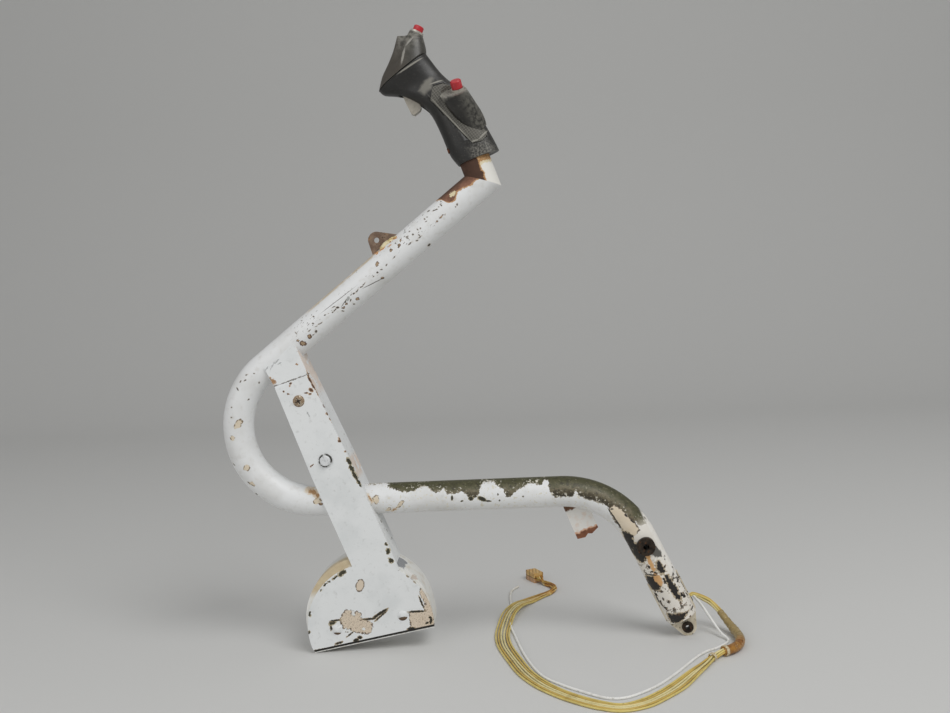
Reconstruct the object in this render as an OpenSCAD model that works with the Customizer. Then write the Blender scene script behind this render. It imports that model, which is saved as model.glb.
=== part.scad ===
// Control stick of a light helicopter: a bent steel tube with a pistol grip,
// a braced balance arm with its bob weight, two pivot bores and a wire harness.
// X points to the rear of the aircraft, Z up, and the origin is the pivot bush.

/* [Tube] */
// Outside diameter of the stick tube
tube_od = 31.75; // [30:0.25:32]
// Wall of the stick tube
tube_wall = 1.65; // [1.25:0.05:2.1]
// Lean of the lower leg from the vertical, in degrees
leg_lean = 25; // [24:0.5:26]
// Length of the lower leg below the pivot
leg_length = 88; // [86:1:90]
// Centreline radius of the knee above the pivot
knee_radius = 90; // [84:1:92]
// Height of the level run above the pivot
run_height = 57; // [56:0.5:58]
// Length of the level run between its bends
run_length = 255; // [250:1:260]
// Centreline radius of the hook
hook_radius = 79; // [77:1:81]
// Slope of the upper run, in degrees
upper_slope = 37.6; // [36:0.2:39]
// Length of the upper run up to the mitre
upper_length = 298; // [290:1:306]
// Lean of the top stub from the vertical, in degrees
stub_lean = 19; // [17:0.5:21]

/* [Pivot and lug] */
// Diameter of the pivot bore
pivot_bore_d = 6.35; // [5:0.05:8]
// Outside diameter of the pivot bush
bush_od = 18.8; // [17:0.2:19]
// Length of the pivot bush across the tube
bush_length = 40; // [38:1:46]
// Distance from the pivot to the lug's hole
lug_reach = 101; // [100:0.5:103]
// Bore of the lug's bush
lug_bore_d = 4.8; // [4:0.1:6]
// Radius of the lug's rounded tip
lug_tip_r = 9.5; // [9:0.5:11]
// Thickness of the lug plate
lug_thickness = 3.2; // [2.5:0.1:4]

/* [Balance arm] */
// Lean of the arm from the vertical, in degrees
arm_lean = 21.1; // [20:0.1:22]
// Inside depth of the arm between its plates
arm_depth = 34.8; // [34:0.2:38]
// Sheet thickness of the arm
sheet = 2; // [1.5:0.1:2.5]
// Width of the arm at its upper end
arm_top_width = 37.2; // [36:0.2:40]
// Width of the arm from its middle down
arm_width = 44; // [42:0.5:46]
// Radius of the bob weight's round side
weight_radius = 66; // [62:1:70]
// Height of the bob weight below its round side's centre
weight_skirt = 20; // [16:1:24]
// Tilt of the bob weight's base, in degrees
weight_tilt = 10.5; // [9:0.5:12]

/* [Grip] */
// Height of the grip's foot above the mitre
foot_height = 23; // [22:0.5:25]
// Depth of the spigot inside the grip
spigot_depth = 36; // [30:1:37]
// Diameter of the thumb boss
boss_d = 26; // [25:0.5:27]
// Travel of the two push buttons
button_travel = 1.6; // [1:0.1:1.8]
// Diameter of the thumb button
thumb_button_d = 11; // [9:0.2:11.4]
// Height of the thumb button above its collar
thumb_button_h = 8; // [5:0.5:9]
// Diameter of the top button
top_button_d = 10.4; // [9:0.2:11.4]
// Height of the top button above its collar
top_button_h = 5.5; // [4:0.5:8]
// Width of the trigger blade
trigger_width = 11; // [8:0.5:12]

/* [Harness] */
// Diameter of the wire bundle
bundle_d = 6.4; // [5:0.2:7]
// Diameter of the sleeve over the bundle
sleeve_d = 10; // [8:0.5:11]
// Diameter of the single white wire
single_wire_d = 2.6; // [2:0.1:3]

/* [Hidden] */
$fn = 64;
weld_gap = 0.05;
eps = 0.5;

// Tube path in the stick's plane, as [x, z]
tube_r = tube_od / 2;
tube_ri = tube_r - tube_wall;
knee_turn = 90 - leg_lean;
knee_tangent = knee_radius * tan(knee_turn / 2);
leg_above = run_height / cos(leg_lean) - knee_tangent;
knee_x = -run_height * tan(leg_lean) - knee_tangent;
knee_centre = [knee_x, run_height - knee_radius];
hook_centre = [knee_x - run_length, run_height + hook_radius];
hook_turn = 180 - upper_slope;
upper_start = hook_centre + hook_radius * [-sin(upper_slope), cos(upper_slope)];
mitre = upper_start + upper_length * [cos(upper_slope), sin(upper_slope)];
mitre_lean = 45 - (upper_slope + stub_lean) / 2;
far = 200;
// A bend's wall is a hair thicker than the straight lengths that run into it
bend_swell = 0.03;
bend_lap = 1;
// A cutter for a coped edge runs this far past a straight length
cope_lap = 3;

// Lower end of the leg
leg_rear = [cos(leg_lean), 0, sin(leg_lean)];
leg_down = [sin(leg_lean), 0, -cos(leg_lean)];
slot_start = 42;
slot_width = lug_thickness + 2 * weld_gap;
lug_width = 34;
lug_taper_start = 85;
lug_bush_r = 5.9;
lug_bush_length = 8;
grommet_reach = 79;
grommet_turn = 40;
grommet_neck_r = 4.6;
grommet_flange_r = 6.6;
grommet_bore_r = 2.6;
grommet_face = tube_r + 2.2;
grommet_root = 2;
grommet_out = leg_rear * cos(grommet_turn) + [0, sin(grommet_turn), 0];
grommet_mouth = grommet_reach * leg_down + grommet_face * grommet_out;

// Tabs on the tube
upper_tab_place = 176;
upper_tab_hole = [-24.8, 0];
upper_tab_hole_r = 2.75;
upper_tab_r = 8.7;
upper_tab_base = [[-14, 21.5], [-14, -13.5]];
lower_tab_x = -75.5;
lower_tab_lean = 21.4;
lower_tab_width = 24.6;
tab_thickness = 3;

// Balance arm in its own frame: x across it, z along it and 0 at its upper edge
arm_top = hook_centre + [-16.4, 49.2];
arm_half = arm_depth / 2;
arm_taper_end = 100;
arm_end = 222.5;
// Upper edge of the saddle, along the widest line of the tube
saddle_crown = [[18.6, 30], [13.7, 34.7], [-4, 27.5], [-20.6, 24]];
tongue_length = 45;
tongue_gap = 0.2;
arm_screw_at = [-1.5, -21];
arm_bolt_at = [-1.5, -88];
bolt_r = 3.175;
bolt_hole_r = 3.3;
bolt_tail = 11;
hexagon_r = 6.4;
bolt_head_r = 5.4;
bolt_head_h = 2.6;
bolt_head_edge = 0.8;
bolt_mark_r = 0.9;
washer_r = 7;
washer_h = 1;
spacer_r = 5.2;
weight_centre = hook_centre + [49.8, -201.7];
weight_lip = 3.8;
// The cheeks sit this far below the weight's crown
cheek_drop = 8;
weight_shift = weight_centre - arm_top;
weight_on_arm = [
    weight_shift[0] * cos(arm_lean) + weight_shift[1] * sin(arm_lean),
    weight_shift[1] * cos(arm_lean) - weight_shift[0] * sin(arm_lean)
];
rivet_places = [[-35, -4], [35, -4]];
rivet_r = 4;

// Grip in its own frame: x rearward, z along the stub, and the foot at 0
// Each section is [front x, front z, rear x, rear z, half width, share of the winged outline]
shaft_sections = [
    [-17.5, 0, 26.7, 0, 18, 0],
    [-21, 10, 26, 8, 18.4, 0],
    [-22, 20, 25, 16, 18.8, 0],
    [-22.3, 37, 22.8, 31, 19, 0],
    [-24.3, 57, 19.8, 50, 19, 0],
    [-30.5, 69, 13.5, 69, 18.8, 0],
    [-40, 80.5, 5, 83, 16.8, 0],
    [-49.5, 88, -0.5, 95, 14.5, 0],
    [-61.5, 94, -5, 110, 16, 0],
    [-64.3, 99, -6.8, 116.6, 17.5, 0]
];
head_sections = [
    [-64.9, 99.4, -6.2, 117.3, 18, 0],
    [-57, 111, -5.2, 120, 16.2, 0.6],
    [-46.5, 121, -4.6, 123.6, 14.2, 1],
    [-37.8, 130, -4.1, 127, 12.2, 1],
    [-31.6, 138, -3.8, 130, 10.2, 1],
    [-27.6, 143.6, -3.6, 132.4, 8.4, 1]
];
// Half of the winged outline, from the rear to the front, as shares of the reach and the half width
wing_profile = [
    [1, 0], [0.98, 0.25], [0.91, 0.52], [0.78, 0.74], [0.6, 0.89], [0.4, 0.97], [0.18, 1], [-0.02, 0.99],
    [-0.18, 0.93], [-0.27, 0.82], [-0.36, 0.64], [-0.48, 0.56], [-0.66, 0.48], [-0.82, 0.4], [-0.93, 0.3],
    [-0.985, 0.16], [-1, 0]
];
section_steps = 3;
section_sides = 32;
section_power = 0.8;
cover_outline = [
    [-19.5, 69], [-14, 78.5], [-11.4, 80.6], [-1.7, 80], [12, 70],
    [20.5, 50], [22.8, 31], [20.6, 17], [14.5, 13], [4, 14.4]
];
cover_inner = 12.5;
cover_proud = 0.6;
cover_gap = 0.1;
boss_gap = 0.1;
boss_cover_gap = 0.3;
foot_recess = 2;
spigot_r = 11.1;
spigot_wall = 1.6;
plug_start = 11;
plug_end = 20;
boss_top = [9.4, -22.3, 67.2];
boss_tilt = 28;
boss_turn = 6;
boss_length = 24;
// The boss itself runs down along the shaft's rear edge
column_top = [4.4, -25, 66.3];
column_turn = -14;
column_length = 44;
crown_top = [-8.3, 0, 139];
crown_lean = 46;
crown_r = 7.5;
crown_base_r = 8.6;
crown_depth = 16;
clamp_screw_at = [-22.4, -5, 17.5];
clamp_screw_r = 2.6;
clamp_screw_length = 10;
cover_screw_places = [[14.5, 19.5], [-12, 66]];
cover_screw_r = 1.6;
cover_screw_head_r = 3;
cover_screw_seat = 9;
cover_screw_head_h = 2.5;
cover_screw_tip = -14.5;
screw_gap = 0.1;

// Push-button switches along their own axis, with the housing's face at 0
switch_r = 6;
switch_depth = 20;
chamber_top = -6;
chamber_bottom = -16;
chamber_r = 3.6;
stem_r = 2.4;
stem_gap = 0.06;
stem_flange_r = 3.3;
stem_flange_h = 1.3;
stem_flange_top = chamber_top - 0.1;
cap_gap = 0.35;
collar_r = 6.9;
collar_h = 2;
cap_base = collar_h + 0.2;
cap_chamfer = 0.9;
spring_wire_d = 0.8;
spring_turns = 4;

// Trigger and what lies in its slot
trigger_slot = [[-47, 60], [-22, 99.5]];
trigger_slot_width = 13.2;
trigger_pivot = [-36, 93];
trigger_hub_r = 4;
trigger_pin_r = 1.5;
trigger_pin_gap = 0.05;
trigger_pin_length = 25;
trigger_outline = [
    [-41.5, 93], [-44.2, 87], [-43.7, 77], [-42.7, 66.2], [-40, 63.9],
    [-33, 66], [-31, 68.5], [-32, 90]
];
trigger_switch_box = [[-29.5, 85], [-22.05, 97]];
trigger_switch_width = 10;
trigger_spring_z = 73;
trigger_spring_r = 2.4;
trigger_spring_span = [0.05, 8.9];

// Harness routes over the ground that the stick stands on, as [x, y, z]
ground = -101;
bundle_on_ground = ground + bundle_d / 2;
single_on_ground = ground + single_wire_d / 2;
crossing_rise = 4;
lead_route = [
    [66, 21, -70], [73, 21, -75], [80, 15, -82], [86, 5, -90], [90, -7, -94.5],
    [91.5, -20, -96], [90, -33, -96], [85, -46, -96], [77, -56, -95.6], [67, -62, -95.6]
];
ground_route = [
    [57, -69], [46, -83], [31, -103], [12, -130], [-6, -151], [-26, -168],
    [-46, -175], [-64, -169], [-81, -157], [-98, -141], [-115, -119], [-129, -91],
    [-140, -56], [-149, -20], [-152, 10], [-150, 40]
];
crossing_route = [[-144, 74], [-134, 102]];
tail_route = [
    [-121, 124], [-106, 139], [-94, 150], [-89, 163], [-92, 174], [-99.5, 184], [-107, 198]
];
single_route = [
    [80, -24], [66, -41], [52, -51], [39, -66], [17, -98], [-2, -123], [-19, -140],
    [-40, -154], [-58, -153], [-78, -138], [-96, -121], [-114, -97], [-128, -50],
    [-138, 8], [-143, 45], [-143, 72], [-142, 107], [-143, 140], [-141, 164], [-133, 180]
];
// Each tie is [x, y, z, heading, outside radius]
tie_places = [[69, -61, -95.5, 31, 5.5], [54, -73, -96.7, 52, 4.3]];
tie_wall = 1;
tie_width = 3.4;
connector_start = [-107, 198, -95];
connector_heading = 118;
connector_size = [21, 13, 12];
contact_rows = 2;
contact_columns = 3;
contact_pitch = 4;
contact_r = 0.9;
contact_hole_r = 1.4;
contact_start = connector_size[0] / 3;
contact_length = connector_size[0] * 0.55;
inner_wire_r = 2;
inner_wire_gap = 0.4;
ground_points = [for (p = ground_route) [p[0], p[1], bundle_on_ground]];
crossing_points = [for (p = crossing_route) [p[0], p[1], bundle_on_ground + crossing_rise]];
tail_points = [for (p = tail_route) [p[0], p[1], bundle_on_ground]];
bundle_start = 0.6;
exit_points = [grommet_mouth + bundle_start * grommet_out, grommet_mouth + 9 * grommet_out];
bundle_route = concat(exit_points, lead_route, ground_points, crossing_points, tail_points);
single_start = [grommet_mouth + 8 * grommet_out, [60, 14, -73], [69, 4, -87]];
single_points = concat(single_start, [for (p = single_route) [p[0], p[1], single_on_ground]]);

// Places on the stick
module at(p) translate([p[0], 0, p[1]]) children();
module on_leg(s) rotate([0, -leg_lean, 0]) translate([0, 0, -s]) children();
module on_upper_run(s) at(upper_start) rotate([0, 90 - upper_slope, 0]) translate([0, 0, s]) children();
module on_mitre() at(mitre) rotate([0, mitre_lean, 0]) children();
module on_stub(s) at(mitre) rotate([0, -stub_lean, 0]) translate([0, 0, s]) children();
module on_grip() on_stub(foot_height) children();
module on_boss() on_grip() translate(boss_top) rotate([boss_tilt, boss_turn, 0]) children();
module on_column() on_grip() translate(column_top) rotate([boss_tilt, column_turn, 0]) children();
module on_crown() on_grip() translate(crown_top) rotate([0, crown_lean, 0]) children();
module on_clamp_screw() on_grip() translate(clamp_screw_at) rotate([0, -90, 0]) children();
module on_arm() at(arm_top) rotate([0, -arm_lean, 0]) children();
module on_weight() at(weight_centre) rotate([0, -weight_tilt, 0]) children();
module on_grommet() on_leg(grommet_reach) rotate([0, 0, grommet_turn]) rotate([0, 90, 0]) children();

// Flat outline in the stick's plane, from one depth to another
module slab(y0, y1) translate([0, y1, 0]) rotate([90, 0, 0]) linear_extrude(y1 - y0) children();
// Round bar across the stick's plane
module cross_pin(r, y0, y1) slab(y0, y1) circle(r);
module rod(r, z0, z1) translate([0, 0, z0]) cylinder(r = r, h = z1 - z0);
// Low round head that stands on z = 0
module dome(r, h) {
    ball_r = (r * r + h * h) / (2 * h);
    intersection() {
        translate([0, 0, h - ball_r]) sphere(ball_r);
        rod(r, 0, h + eps);
    }
}

// Rounded lug: straight sides that run from two base points to a round end
function touch(c, r, p, side) =
    let (a = atan2(p[1] - c[1], p[0] - c[0]) + side * acos(r / norm(p - c)))
    c + r * [cos(a), sin(a)];
module lug_outline(c, r, base) {
    polygon([base[0], touch(c, r, base[0], 1), c, touch(c, r, base[1], -1), base[1]]);
    translate(c) circle(r);
}

// Tube made of straight and bent lengths
module pipe_profile(grow = 0) {
    difference() {
        circle(tube_r + grow);
        circle(tube_ri - grow);
    }
}
module pipe(length) linear_extrude(length) pipe_profile();
module bend(centre, radius, from, turn) {
    at(centre) rotate([90, 0, 0]) rotate([0, 0, from])
        rotate_extrude(angle = turn) translate([radius, 0]) children();
}

// Smooth curve through points, and a round cord swept along it
function unit(v) = v / norm(v);
function blend(a, b, c, d, t) =
    0.5 * (2 * b + (c - a) * t + (2 * a - 5 * b + 4 * c - d) * t * t
        + (3 * b - a - 3 * c + d) * t * t * t);
function smooth(p, steps) =
    let (last = len(p) - 1)
    [
        for (i = [0 : last - 1])
            for (k = [0 : steps - 1])
                blend(p[max(i - 1, 0)], p[i], p[i + 1], p[min(i + 2, last)], k / steps),
        p[last]
    ];
function heading(path, i) = unit(path[min(i + 1, len(path) - 1)] - path[max(i - 1, 0)]);
function cord_ring(centre, along, reference, r, sides) =
    let (side = unit(cross(along, reference)))
    let (rise = cross(side, along))
    [
        for (k = [0 : sides - 1])
            let (a = 360 * k / sides)
            centre + r * (cos(a) * side + sin(a) * rise)
    ];
function wall_faces(rings, sides) = [
    for (i = [0 : rings - 2])
        for (k = [0 : sides - 1])
            for (face = [
                [i * sides + k, i * sides + (k + 1) % sides, (i + 1) * sides + k],
                [i * sides + (k + 1) % sides, (i + 1) * sides + (k + 1) % sides, (i + 1) * sides + k]
            ]) face
];
function end_faces(rings, sides) = [
    [for (k = [0 : sides - 1]) sides - 1 - k],
    [for (k = [0 : sides - 1]) (rings - 1) * sides + k]
];
module skin(points, rings, sides) {
    polyhedron(points, concat(wall_faces(rings, sides), end_faces(rings, sides)), convexity = 6);
}
module cord(path, r, reference = [0, 0, 1], sides = 8) {
    points = [
        for (i = [0 : len(path) - 1])
            for (p = cord_ring(path[i], heading(path, i), reference, r, sides)) p
    ];
    skin(points, len(path), sides);
}
// Coil spring along z
module spring(r, z0, z1) {
    rings_per_turn = 10;
    count = spring_turns * rings_per_turn;
    rise = z1 - z0 - spring_wire_d;
    path = [
        for (i = [0 : count])
            let (a = 360 * i / rings_per_turn)
            [r * cos(a), r * sin(a), z0 + spring_wire_d / 2 + rise * i / count]
    ];
    cord(path, spring_wire_d / 2, [0, 0, 1], 6);
}

// Stick tube and what is welded to it

module stick_tube() {
    color("whitesmoke") difference() {
        union() {
            on_leg(leg_length) pipe(leg_length + leg_above + bend_lap);
            bend(knee_centre, knee_radius, leg_lean, knee_turn) pipe_profile(bend_swell);
            at([hook_centre[0] - bend_lap, run_height]) rotate([0, 90, 0]) pipe(run_length + 2 * bend_lap);
            bend(hook_centre, hook_radius, 90 + upper_slope, hook_turn) pipe_profile(bend_swell);
            on_upper_run(-bend_lap) pipe(upper_length + tube_od);
        }
        on_mitre() translate([-far / 2, -far / 2, 0]) cube(far);
        cross_pin(bush_od / 2 + weld_gap, -tube_od, tube_od);
        on_leg(leg_length + eps) translate([-tube_od, -slot_width / 2, 0])
            cube([2 * tube_od, slot_width, leg_length - slot_start + eps]);
        on_grommet() rod(grommet_neck_r + weld_gap, 0, tube_od);
    }
}

module top_stub() {
    color("whitesmoke") difference() {
        on_stub(-tube_od) pipe(tube_od + foot_height + foot_recess);
        on_mitre() translate([-far / 2, -far / 2, -far]) cube(far);
    }
}

module grip_spigot() {
    color("dimgray") on_stub(0) difference() {
        union() {
            rod(spigot_r, plug_start, foot_height + spigot_depth);
            rod(tube_ri - weld_gap, plug_start, plug_end);
        }
        rod(spigot_r - spigot_wall, plug_start - eps, foot_height + spigot_depth + eps);
    }
}

module upper_tab() {
    color("saddlebrown") on_upper_run(upper_tab_place) difference() {
        slab(-tab_thickness / 2, tab_thickness / 2) difference() {
            lug_outline(upper_tab_hole, upper_tab_r, upper_tab_base);
            translate(upper_tab_hole) circle(upper_tab_hole_r);
        }
        rod(tube_r + weld_gap, -tube_od, tube_od);
    }
}

// Torn strip under the level run
module lower_tab() {
    half = lower_tab_width / 2;
    torn_edge = [[half, -47], [4, -50.5], [0, -48.8], [-4, -51.5], [-half, -50]];
    color("whitesmoke") difference() {
        at([lower_tab_x, run_height]) rotate([0, -lower_tab_lean, 0])
            slab(-tab_thickness / 3, tab_thickness / 3)
                polygon(concat([[-half, -8], [half, -8]], torn_edge));
        at([hook_centre[0], run_height]) rotate([0, 90, 0])
            rod(tube_r + weld_gap, 0, run_length + cope_lap);
        bend(knee_centre, knee_radius, leg_lean, knee_turn) circle(tube_r + weld_gap);
    }
}

module pivot_bush() {
    color("#4a3a30") difference() {
        cross_pin(bush_od / 2, -bush_length / 2, bush_length / 2);
        cross_pin(pivot_bore_d / 2, -bush_length, bush_length);
    }
}

module end_lug() {
    hole = [0, -lug_reach];
    base = [[-lug_width / 2, -lug_taper_start], [lug_width / 2, -lug_taper_start]];
    color("whitesmoke") on_leg(0) slab(-lug_thickness / 2, lug_thickness / 2) difference() {
        union() {
            translate([-lug_width / 2, -lug_taper_start])
                square([lug_width, lug_taper_start - slot_start]);
            lug_outline(hole, lug_tip_r, base);
        }
        translate(hole) circle(lug_bush_r + weld_gap);
    }
}

module lug_bush() {
    color("#3a2f28") on_leg(lug_reach) difference() {
        cross_pin(lug_bush_r, -lug_bush_length / 2, lug_bush_length / 2);
        cross_pin(lug_bore_d / 2, -lug_bush_length, lug_bush_length);
    }
}

module wire_grommet() {
    color("#202020") difference() {
        union() {
            on_grommet() rod(grommet_neck_r, tube_ri - grommet_root, grommet_face);
            difference() {
                on_grommet() rod(grommet_flange_r, tube_r - grommet_root, grommet_face);
                on_leg(leg_length) rod(tube_r, 0, leg_length);
            }
        }
        on_grommet() rod(grommet_bore_r, 0, tube_od);
    }
}

// Balance arm

module arm_strip() {
    polygon([
        [-arm_top_width / 2, 0], [arm_top_width / 2, 0],
        [arm_width / 2, -arm_taper_end], [arm_width / 2, -arm_end],
        [-arm_width / 2, -arm_end], [-arm_width / 2, -arm_taper_end]
    ]);
}
module weight_outline(drop, base) {
    intersection() {
        translate([0, -drop]) circle(weight_radius);
        translate([-far / 2, -base]) square(far);
    }
}
module arm_fastener_holes() {
    for (p = [arm_screw_at, arm_bolt_at])
        on_arm() at(p) cross_pin(bolt_hole_r, -arm_depth, arm_depth);
}
module rivet_holes() {
    for (p = rivet_places)
        on_weight() at(p) cross_pin(rivet_r + weld_gap, -arm_depth, arm_depth);
}
// Face plate with the arm and the weight's cheek in one sheet
module arm_plate(y0, y1) {
    difference() {
        on_arm() union() {
            slab(y0, y1) arm_strip();
            slab(y0, y1) translate(weight_on_arm) rotate(weight_tilt - arm_lean)
                weight_outline(cheek_drop, weight_skirt);
        }
        arm_fastener_holes();
        rivet_holes();
    }
}

module arm_front_plate() {
    color("whitesmoke") arm_plate(-arm_half - sheet, -arm_half);
}

// Rear plate with the two side walls, open to the front and notched for the level run
module arm_walls() {
    inner_top = arm_top_width / 2 - sheet;
    inner = arm_width / 2 - sheet;
    difference() {
        on_arm() slab(-arm_half, arm_half + sheet / 2) difference() {
            arm_strip();
            polygon([
                [-inner_top, eps], [inner_top, eps], [inner, -arm_taper_end], [inner, -arm_end - eps],
                [-inner, -arm_end - eps], [-inner, -arm_taper_end]
            ]);
        }
        at([hook_centre[0], run_height]) rotate([0, 90, 0]) rod(tube_r + weld_gap, 0, run_length);
        on_weight() cross_pin(weight_radius + weld_gap, -arm_depth, arm_depth);
    }
}
module arm_channel() {
    color("gainsboro") union() {
        arm_plate(arm_half, arm_half + sheet);
        arm_walls();
    }
}

// Saddle welded under the upper run, with a boxed tongue inside the arm
module brace_bracket() {
    half = arm_top_width / 2;
    tongue = half - sheet - tongue_gap;
    depth = arm_half - tongue_gap;
    color("whitesmoke") difference() {
        on_arm() union() {
            slab(-arm_half, arm_half) polygon(concat([[-half, 0], [half, 0]], saddle_crown));
            translate([-tongue, -depth, -tongue_length]) cube([2 * tongue, 2 * depth, tongue_length]);
        }
        on_arm() translate([-tongue + sheet, -depth + sheet, -tongue_length - eps])
            cube([2 * (tongue - sheet), 2 * (depth - sheet), tongue_length + eps]);
        on_upper_run(-cope_lap) rod(tube_r + weld_gap, 0, upper_length / 2);
        bend(hook_centre, hook_radius, 90 + upper_slope, hook_turn / 2) circle(tube_r + weld_gap);
        arm_fastener_holes();
    }
}

module arm_spacers() {
    inner = arm_half - tongue_gap - sheet;
    color("silver") {
        on_arm() at(arm_screw_at) difference() {
            cross_pin(spacer_r, -inner, inner);
            cross_pin(bolt_hole_r, -arm_depth, arm_depth);
        }
        on_arm() at(arm_bolt_at) difference() {
            cross_pin(spacer_r, -arm_half, arm_half);
            cross_pin(bolt_hole_r, -arm_depth, arm_depth);
        }
    }
}

// Round-head screw with a cross recess, and a bolt with a flat round head, both through the arm
module front_face(p) on_arm() at(p) translate([0, -arm_half - sheet, 0]) rotate([90, 0, 0]) children();
module rear_face(p) on_arm() at(p) translate([0, arm_half + sheet, 0]) rotate([-90, 0, 0]) children();
module bolt_shank(top) rod(bolt_r, -arm_depth - 2 * sheet - bolt_tail, top);

module arm_screw() {
    head_r = 6.1;
    head_h = 2.6;
    recess = 1.3;
    color("#8a7355") front_face(arm_screw_at) {
        bolt_shank(0);
        difference() {
            dome(head_r, head_h);
            for (a = [0, 90])
                rotate([0, 0, a + 45]) translate([-head_r / 2, -recess / 2, recess])
                    cube([head_r, recess, head_h]);
        }
    }
}

module arm_bolt() {
    edge = bolt_head_h - bolt_head_edge;
    color("silver") front_face(arm_bolt_at) {
        bolt_shank(washer_h);
        translate([0, 0, washer_h]) rotate_extrude() polygon([
            [0, 0], [bolt_head_r, 0], [bolt_head_r, edge], [bolt_head_r - bolt_head_edge, bolt_head_h],
            [bolt_mark_r, bolt_head_h], [bolt_mark_r, edge], [0, edge]
        ]);
    }
}

module washer() {
    difference() {
        rod(washer_r, 0, washer_h);
        rod(bolt_hole_r, -eps, washer_h + eps);
    }
}
module arm_washers() {
    color("silver") {
        front_face(arm_bolt_at) washer();
        for (p = [arm_screw_at, arm_bolt_at])
            rear_face(p) washer();
    }
}

module arm_nuts() {
    nut_h = 5.5;
    color("silver") for (p = [arm_screw_at, arm_bolt_at])
        rear_face(p) translate([0, 0, washer_h]) difference() {
            cylinder(r = hexagon_r, h = nut_h, $fn = 6);
            rod(bolt_r, -eps, nut_h + eps);
        }
}

module bob_weight() {
    color("lightgray") difference() {
        on_weight() for (drop = [0, cheek_drop])
            slab(-arm_half, arm_half) weight_outline(drop, weight_skirt + weight_lip);
        rivet_holes();
    }
}

module weight_rivets() {
    head_r = 5.4;
    head_h = 2;
    color("silver") for (p = rivet_places)
        on_weight() at(p) {
            cross_pin(rivet_r, -arm_half - sheet, arm_half + sheet);
            translate([0, -arm_half - sheet, 0]) rotate([90, 0, 0]) dome(head_r, head_h);
            translate([0, arm_half + sheet, 0]) rotate([-90, 0, 0]) dome(head_r, head_h);
        }
}

// Grip

function section_ring(s, grow) =
    let (front = [s[0], s[1]])
    let (rear = [s[2], s[3]])
    let (middle = (front + rear) / 2)
    let (reach = (rear - front) / 2)
    [
        for (k = [0 : section_sides - 1])
            let (c = cos(360 * k / section_sides))
            let (d = -sin(360 * k / section_sides))
            let (oval = [sign(c) * pow(abs(c), section_power), sign(d) * pow(abs(d), section_power)])
            let (near_side = k <= section_sides / 2)
            let (half = wing_profile[near_side ? k : section_sides - k])
            let (wing = [half[0], near_side ? -half[1] : half[1]])
            let (share = oval + s[5] * (wing - oval))
            [middle[0] + reach[0] * share[0], (s[4] + grow) * share[1], middle[1] + reach[1] * share[0]]
    ];
module loft(sections, grow = 0) {
    path = smooth(sections, section_steps);
    points = [for (s = path) for (p = section_ring(s, grow)) p];
    skin(points, len(path), section_sides);
}
module boss_bore(length, gap) on_column() rod(boss_d / 2 + gap, -length - gap, far);
// Below its seat the boss has a flat back, level with the cover's
module behind_boss() {
    intersection() {
        on_column() rod(boss_d, -far, -boss_length);
        on_grip() slab(-cover_inner - cover_gap, far) square(2 * far, center = true);
    }
}

module grip_body() {
    color("#2b2b28") difference() {
        on_grip() loft(shaft_sections);
        on_grip() slab(-far, -cover_inner) polygon(cover_outline);
        boss_bore(boss_length, boss_gap);
        on_grip() rod(spigot_r + weld_gap, -eps, spigot_depth);
        on_grip() rod(tube_r + weld_gap, -eps, foot_recess);
        on_grip() translate([trigger_slot[0][0], -trigger_slot_width / 2, trigger_slot[0][1]])
            cube([
                trigger_slot[1][0] - trigger_slot[0][0], trigger_slot_width,
                trigger_slot[1][1] - trigger_slot[0][1]
            ]);
        on_grip() at(trigger_pivot)
            cross_pin(trigger_pin_r + trigger_pin_gap, -trigger_pin_length / 2, trigger_pin_length / 2);
        on_clamp_screw() rod(clamp_screw_r + screw_gap, -clamp_screw_length, spigot_r);
        for (p = cover_screw_places)
            on_grip() at(p) {
                cross_pin(cover_screw_r + screw_gap, -far / 8, cover_screw_seat + eps);
                cross_pin(cover_screw_head_r + screw_gap, cover_screw_seat, far / 8);
            }
    }
}

module grip_head() {
    color("#3a3a36") difference() {
        union() {
            on_grip() loft(head_sections);
            on_crown() translate([0, 0, -crown_depth])
                cylinder(r1 = crown_base_r, r2 = crown_r, h = crown_depth);
        }
        on_crown() rod(switch_r + weld_gap, -switch_depth - eps, far / 10);
        on_crown() rod(collar_r + weld_gap, -weld_gap, far / 10);
    }
}

module grip_side_cover() {
    color("#5a5a55") difference() {
        intersection() {
            on_grip() loft(shaft_sections, cover_proud);
            on_grip() slab(-far, -cover_inner - cover_gap) polygon(cover_outline);
        }
        boss_bore(column_length, boss_cover_gap);
        for (p = cover_screw_places)
            on_grip() at(p) cross_pin(cover_screw_r + screw_gap, cover_screw_tip - screw_gap, 0);
    }
}

module thumb_boss() {
    color("#2b2b28") difference() {
        on_column() rod(boss_d / 2, -column_length, boss_d);
        on_boss() translate([-far / 2, -far / 2, 0]) cube(far);
        behind_boss();
        on_boss() rod(switch_r + weld_gap, -switch_depth - eps, eps);
    }
}

module cover_screws() {
    color("dimgray") for (p = cover_screw_places)
        on_grip() at(p) {
            cross_pin(cover_screw_r, cover_screw_tip, cover_screw_seat + eps);
            cross_pin(cover_screw_head_r, cover_screw_seat, cover_screw_seat + cover_screw_head_h);
        }
}
module clamp_screw() {
    color("#6a3a2a") on_clamp_screw() rod(clamp_screw_r, -clamp_screw_length, 0);
}

// Push buttons

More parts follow.
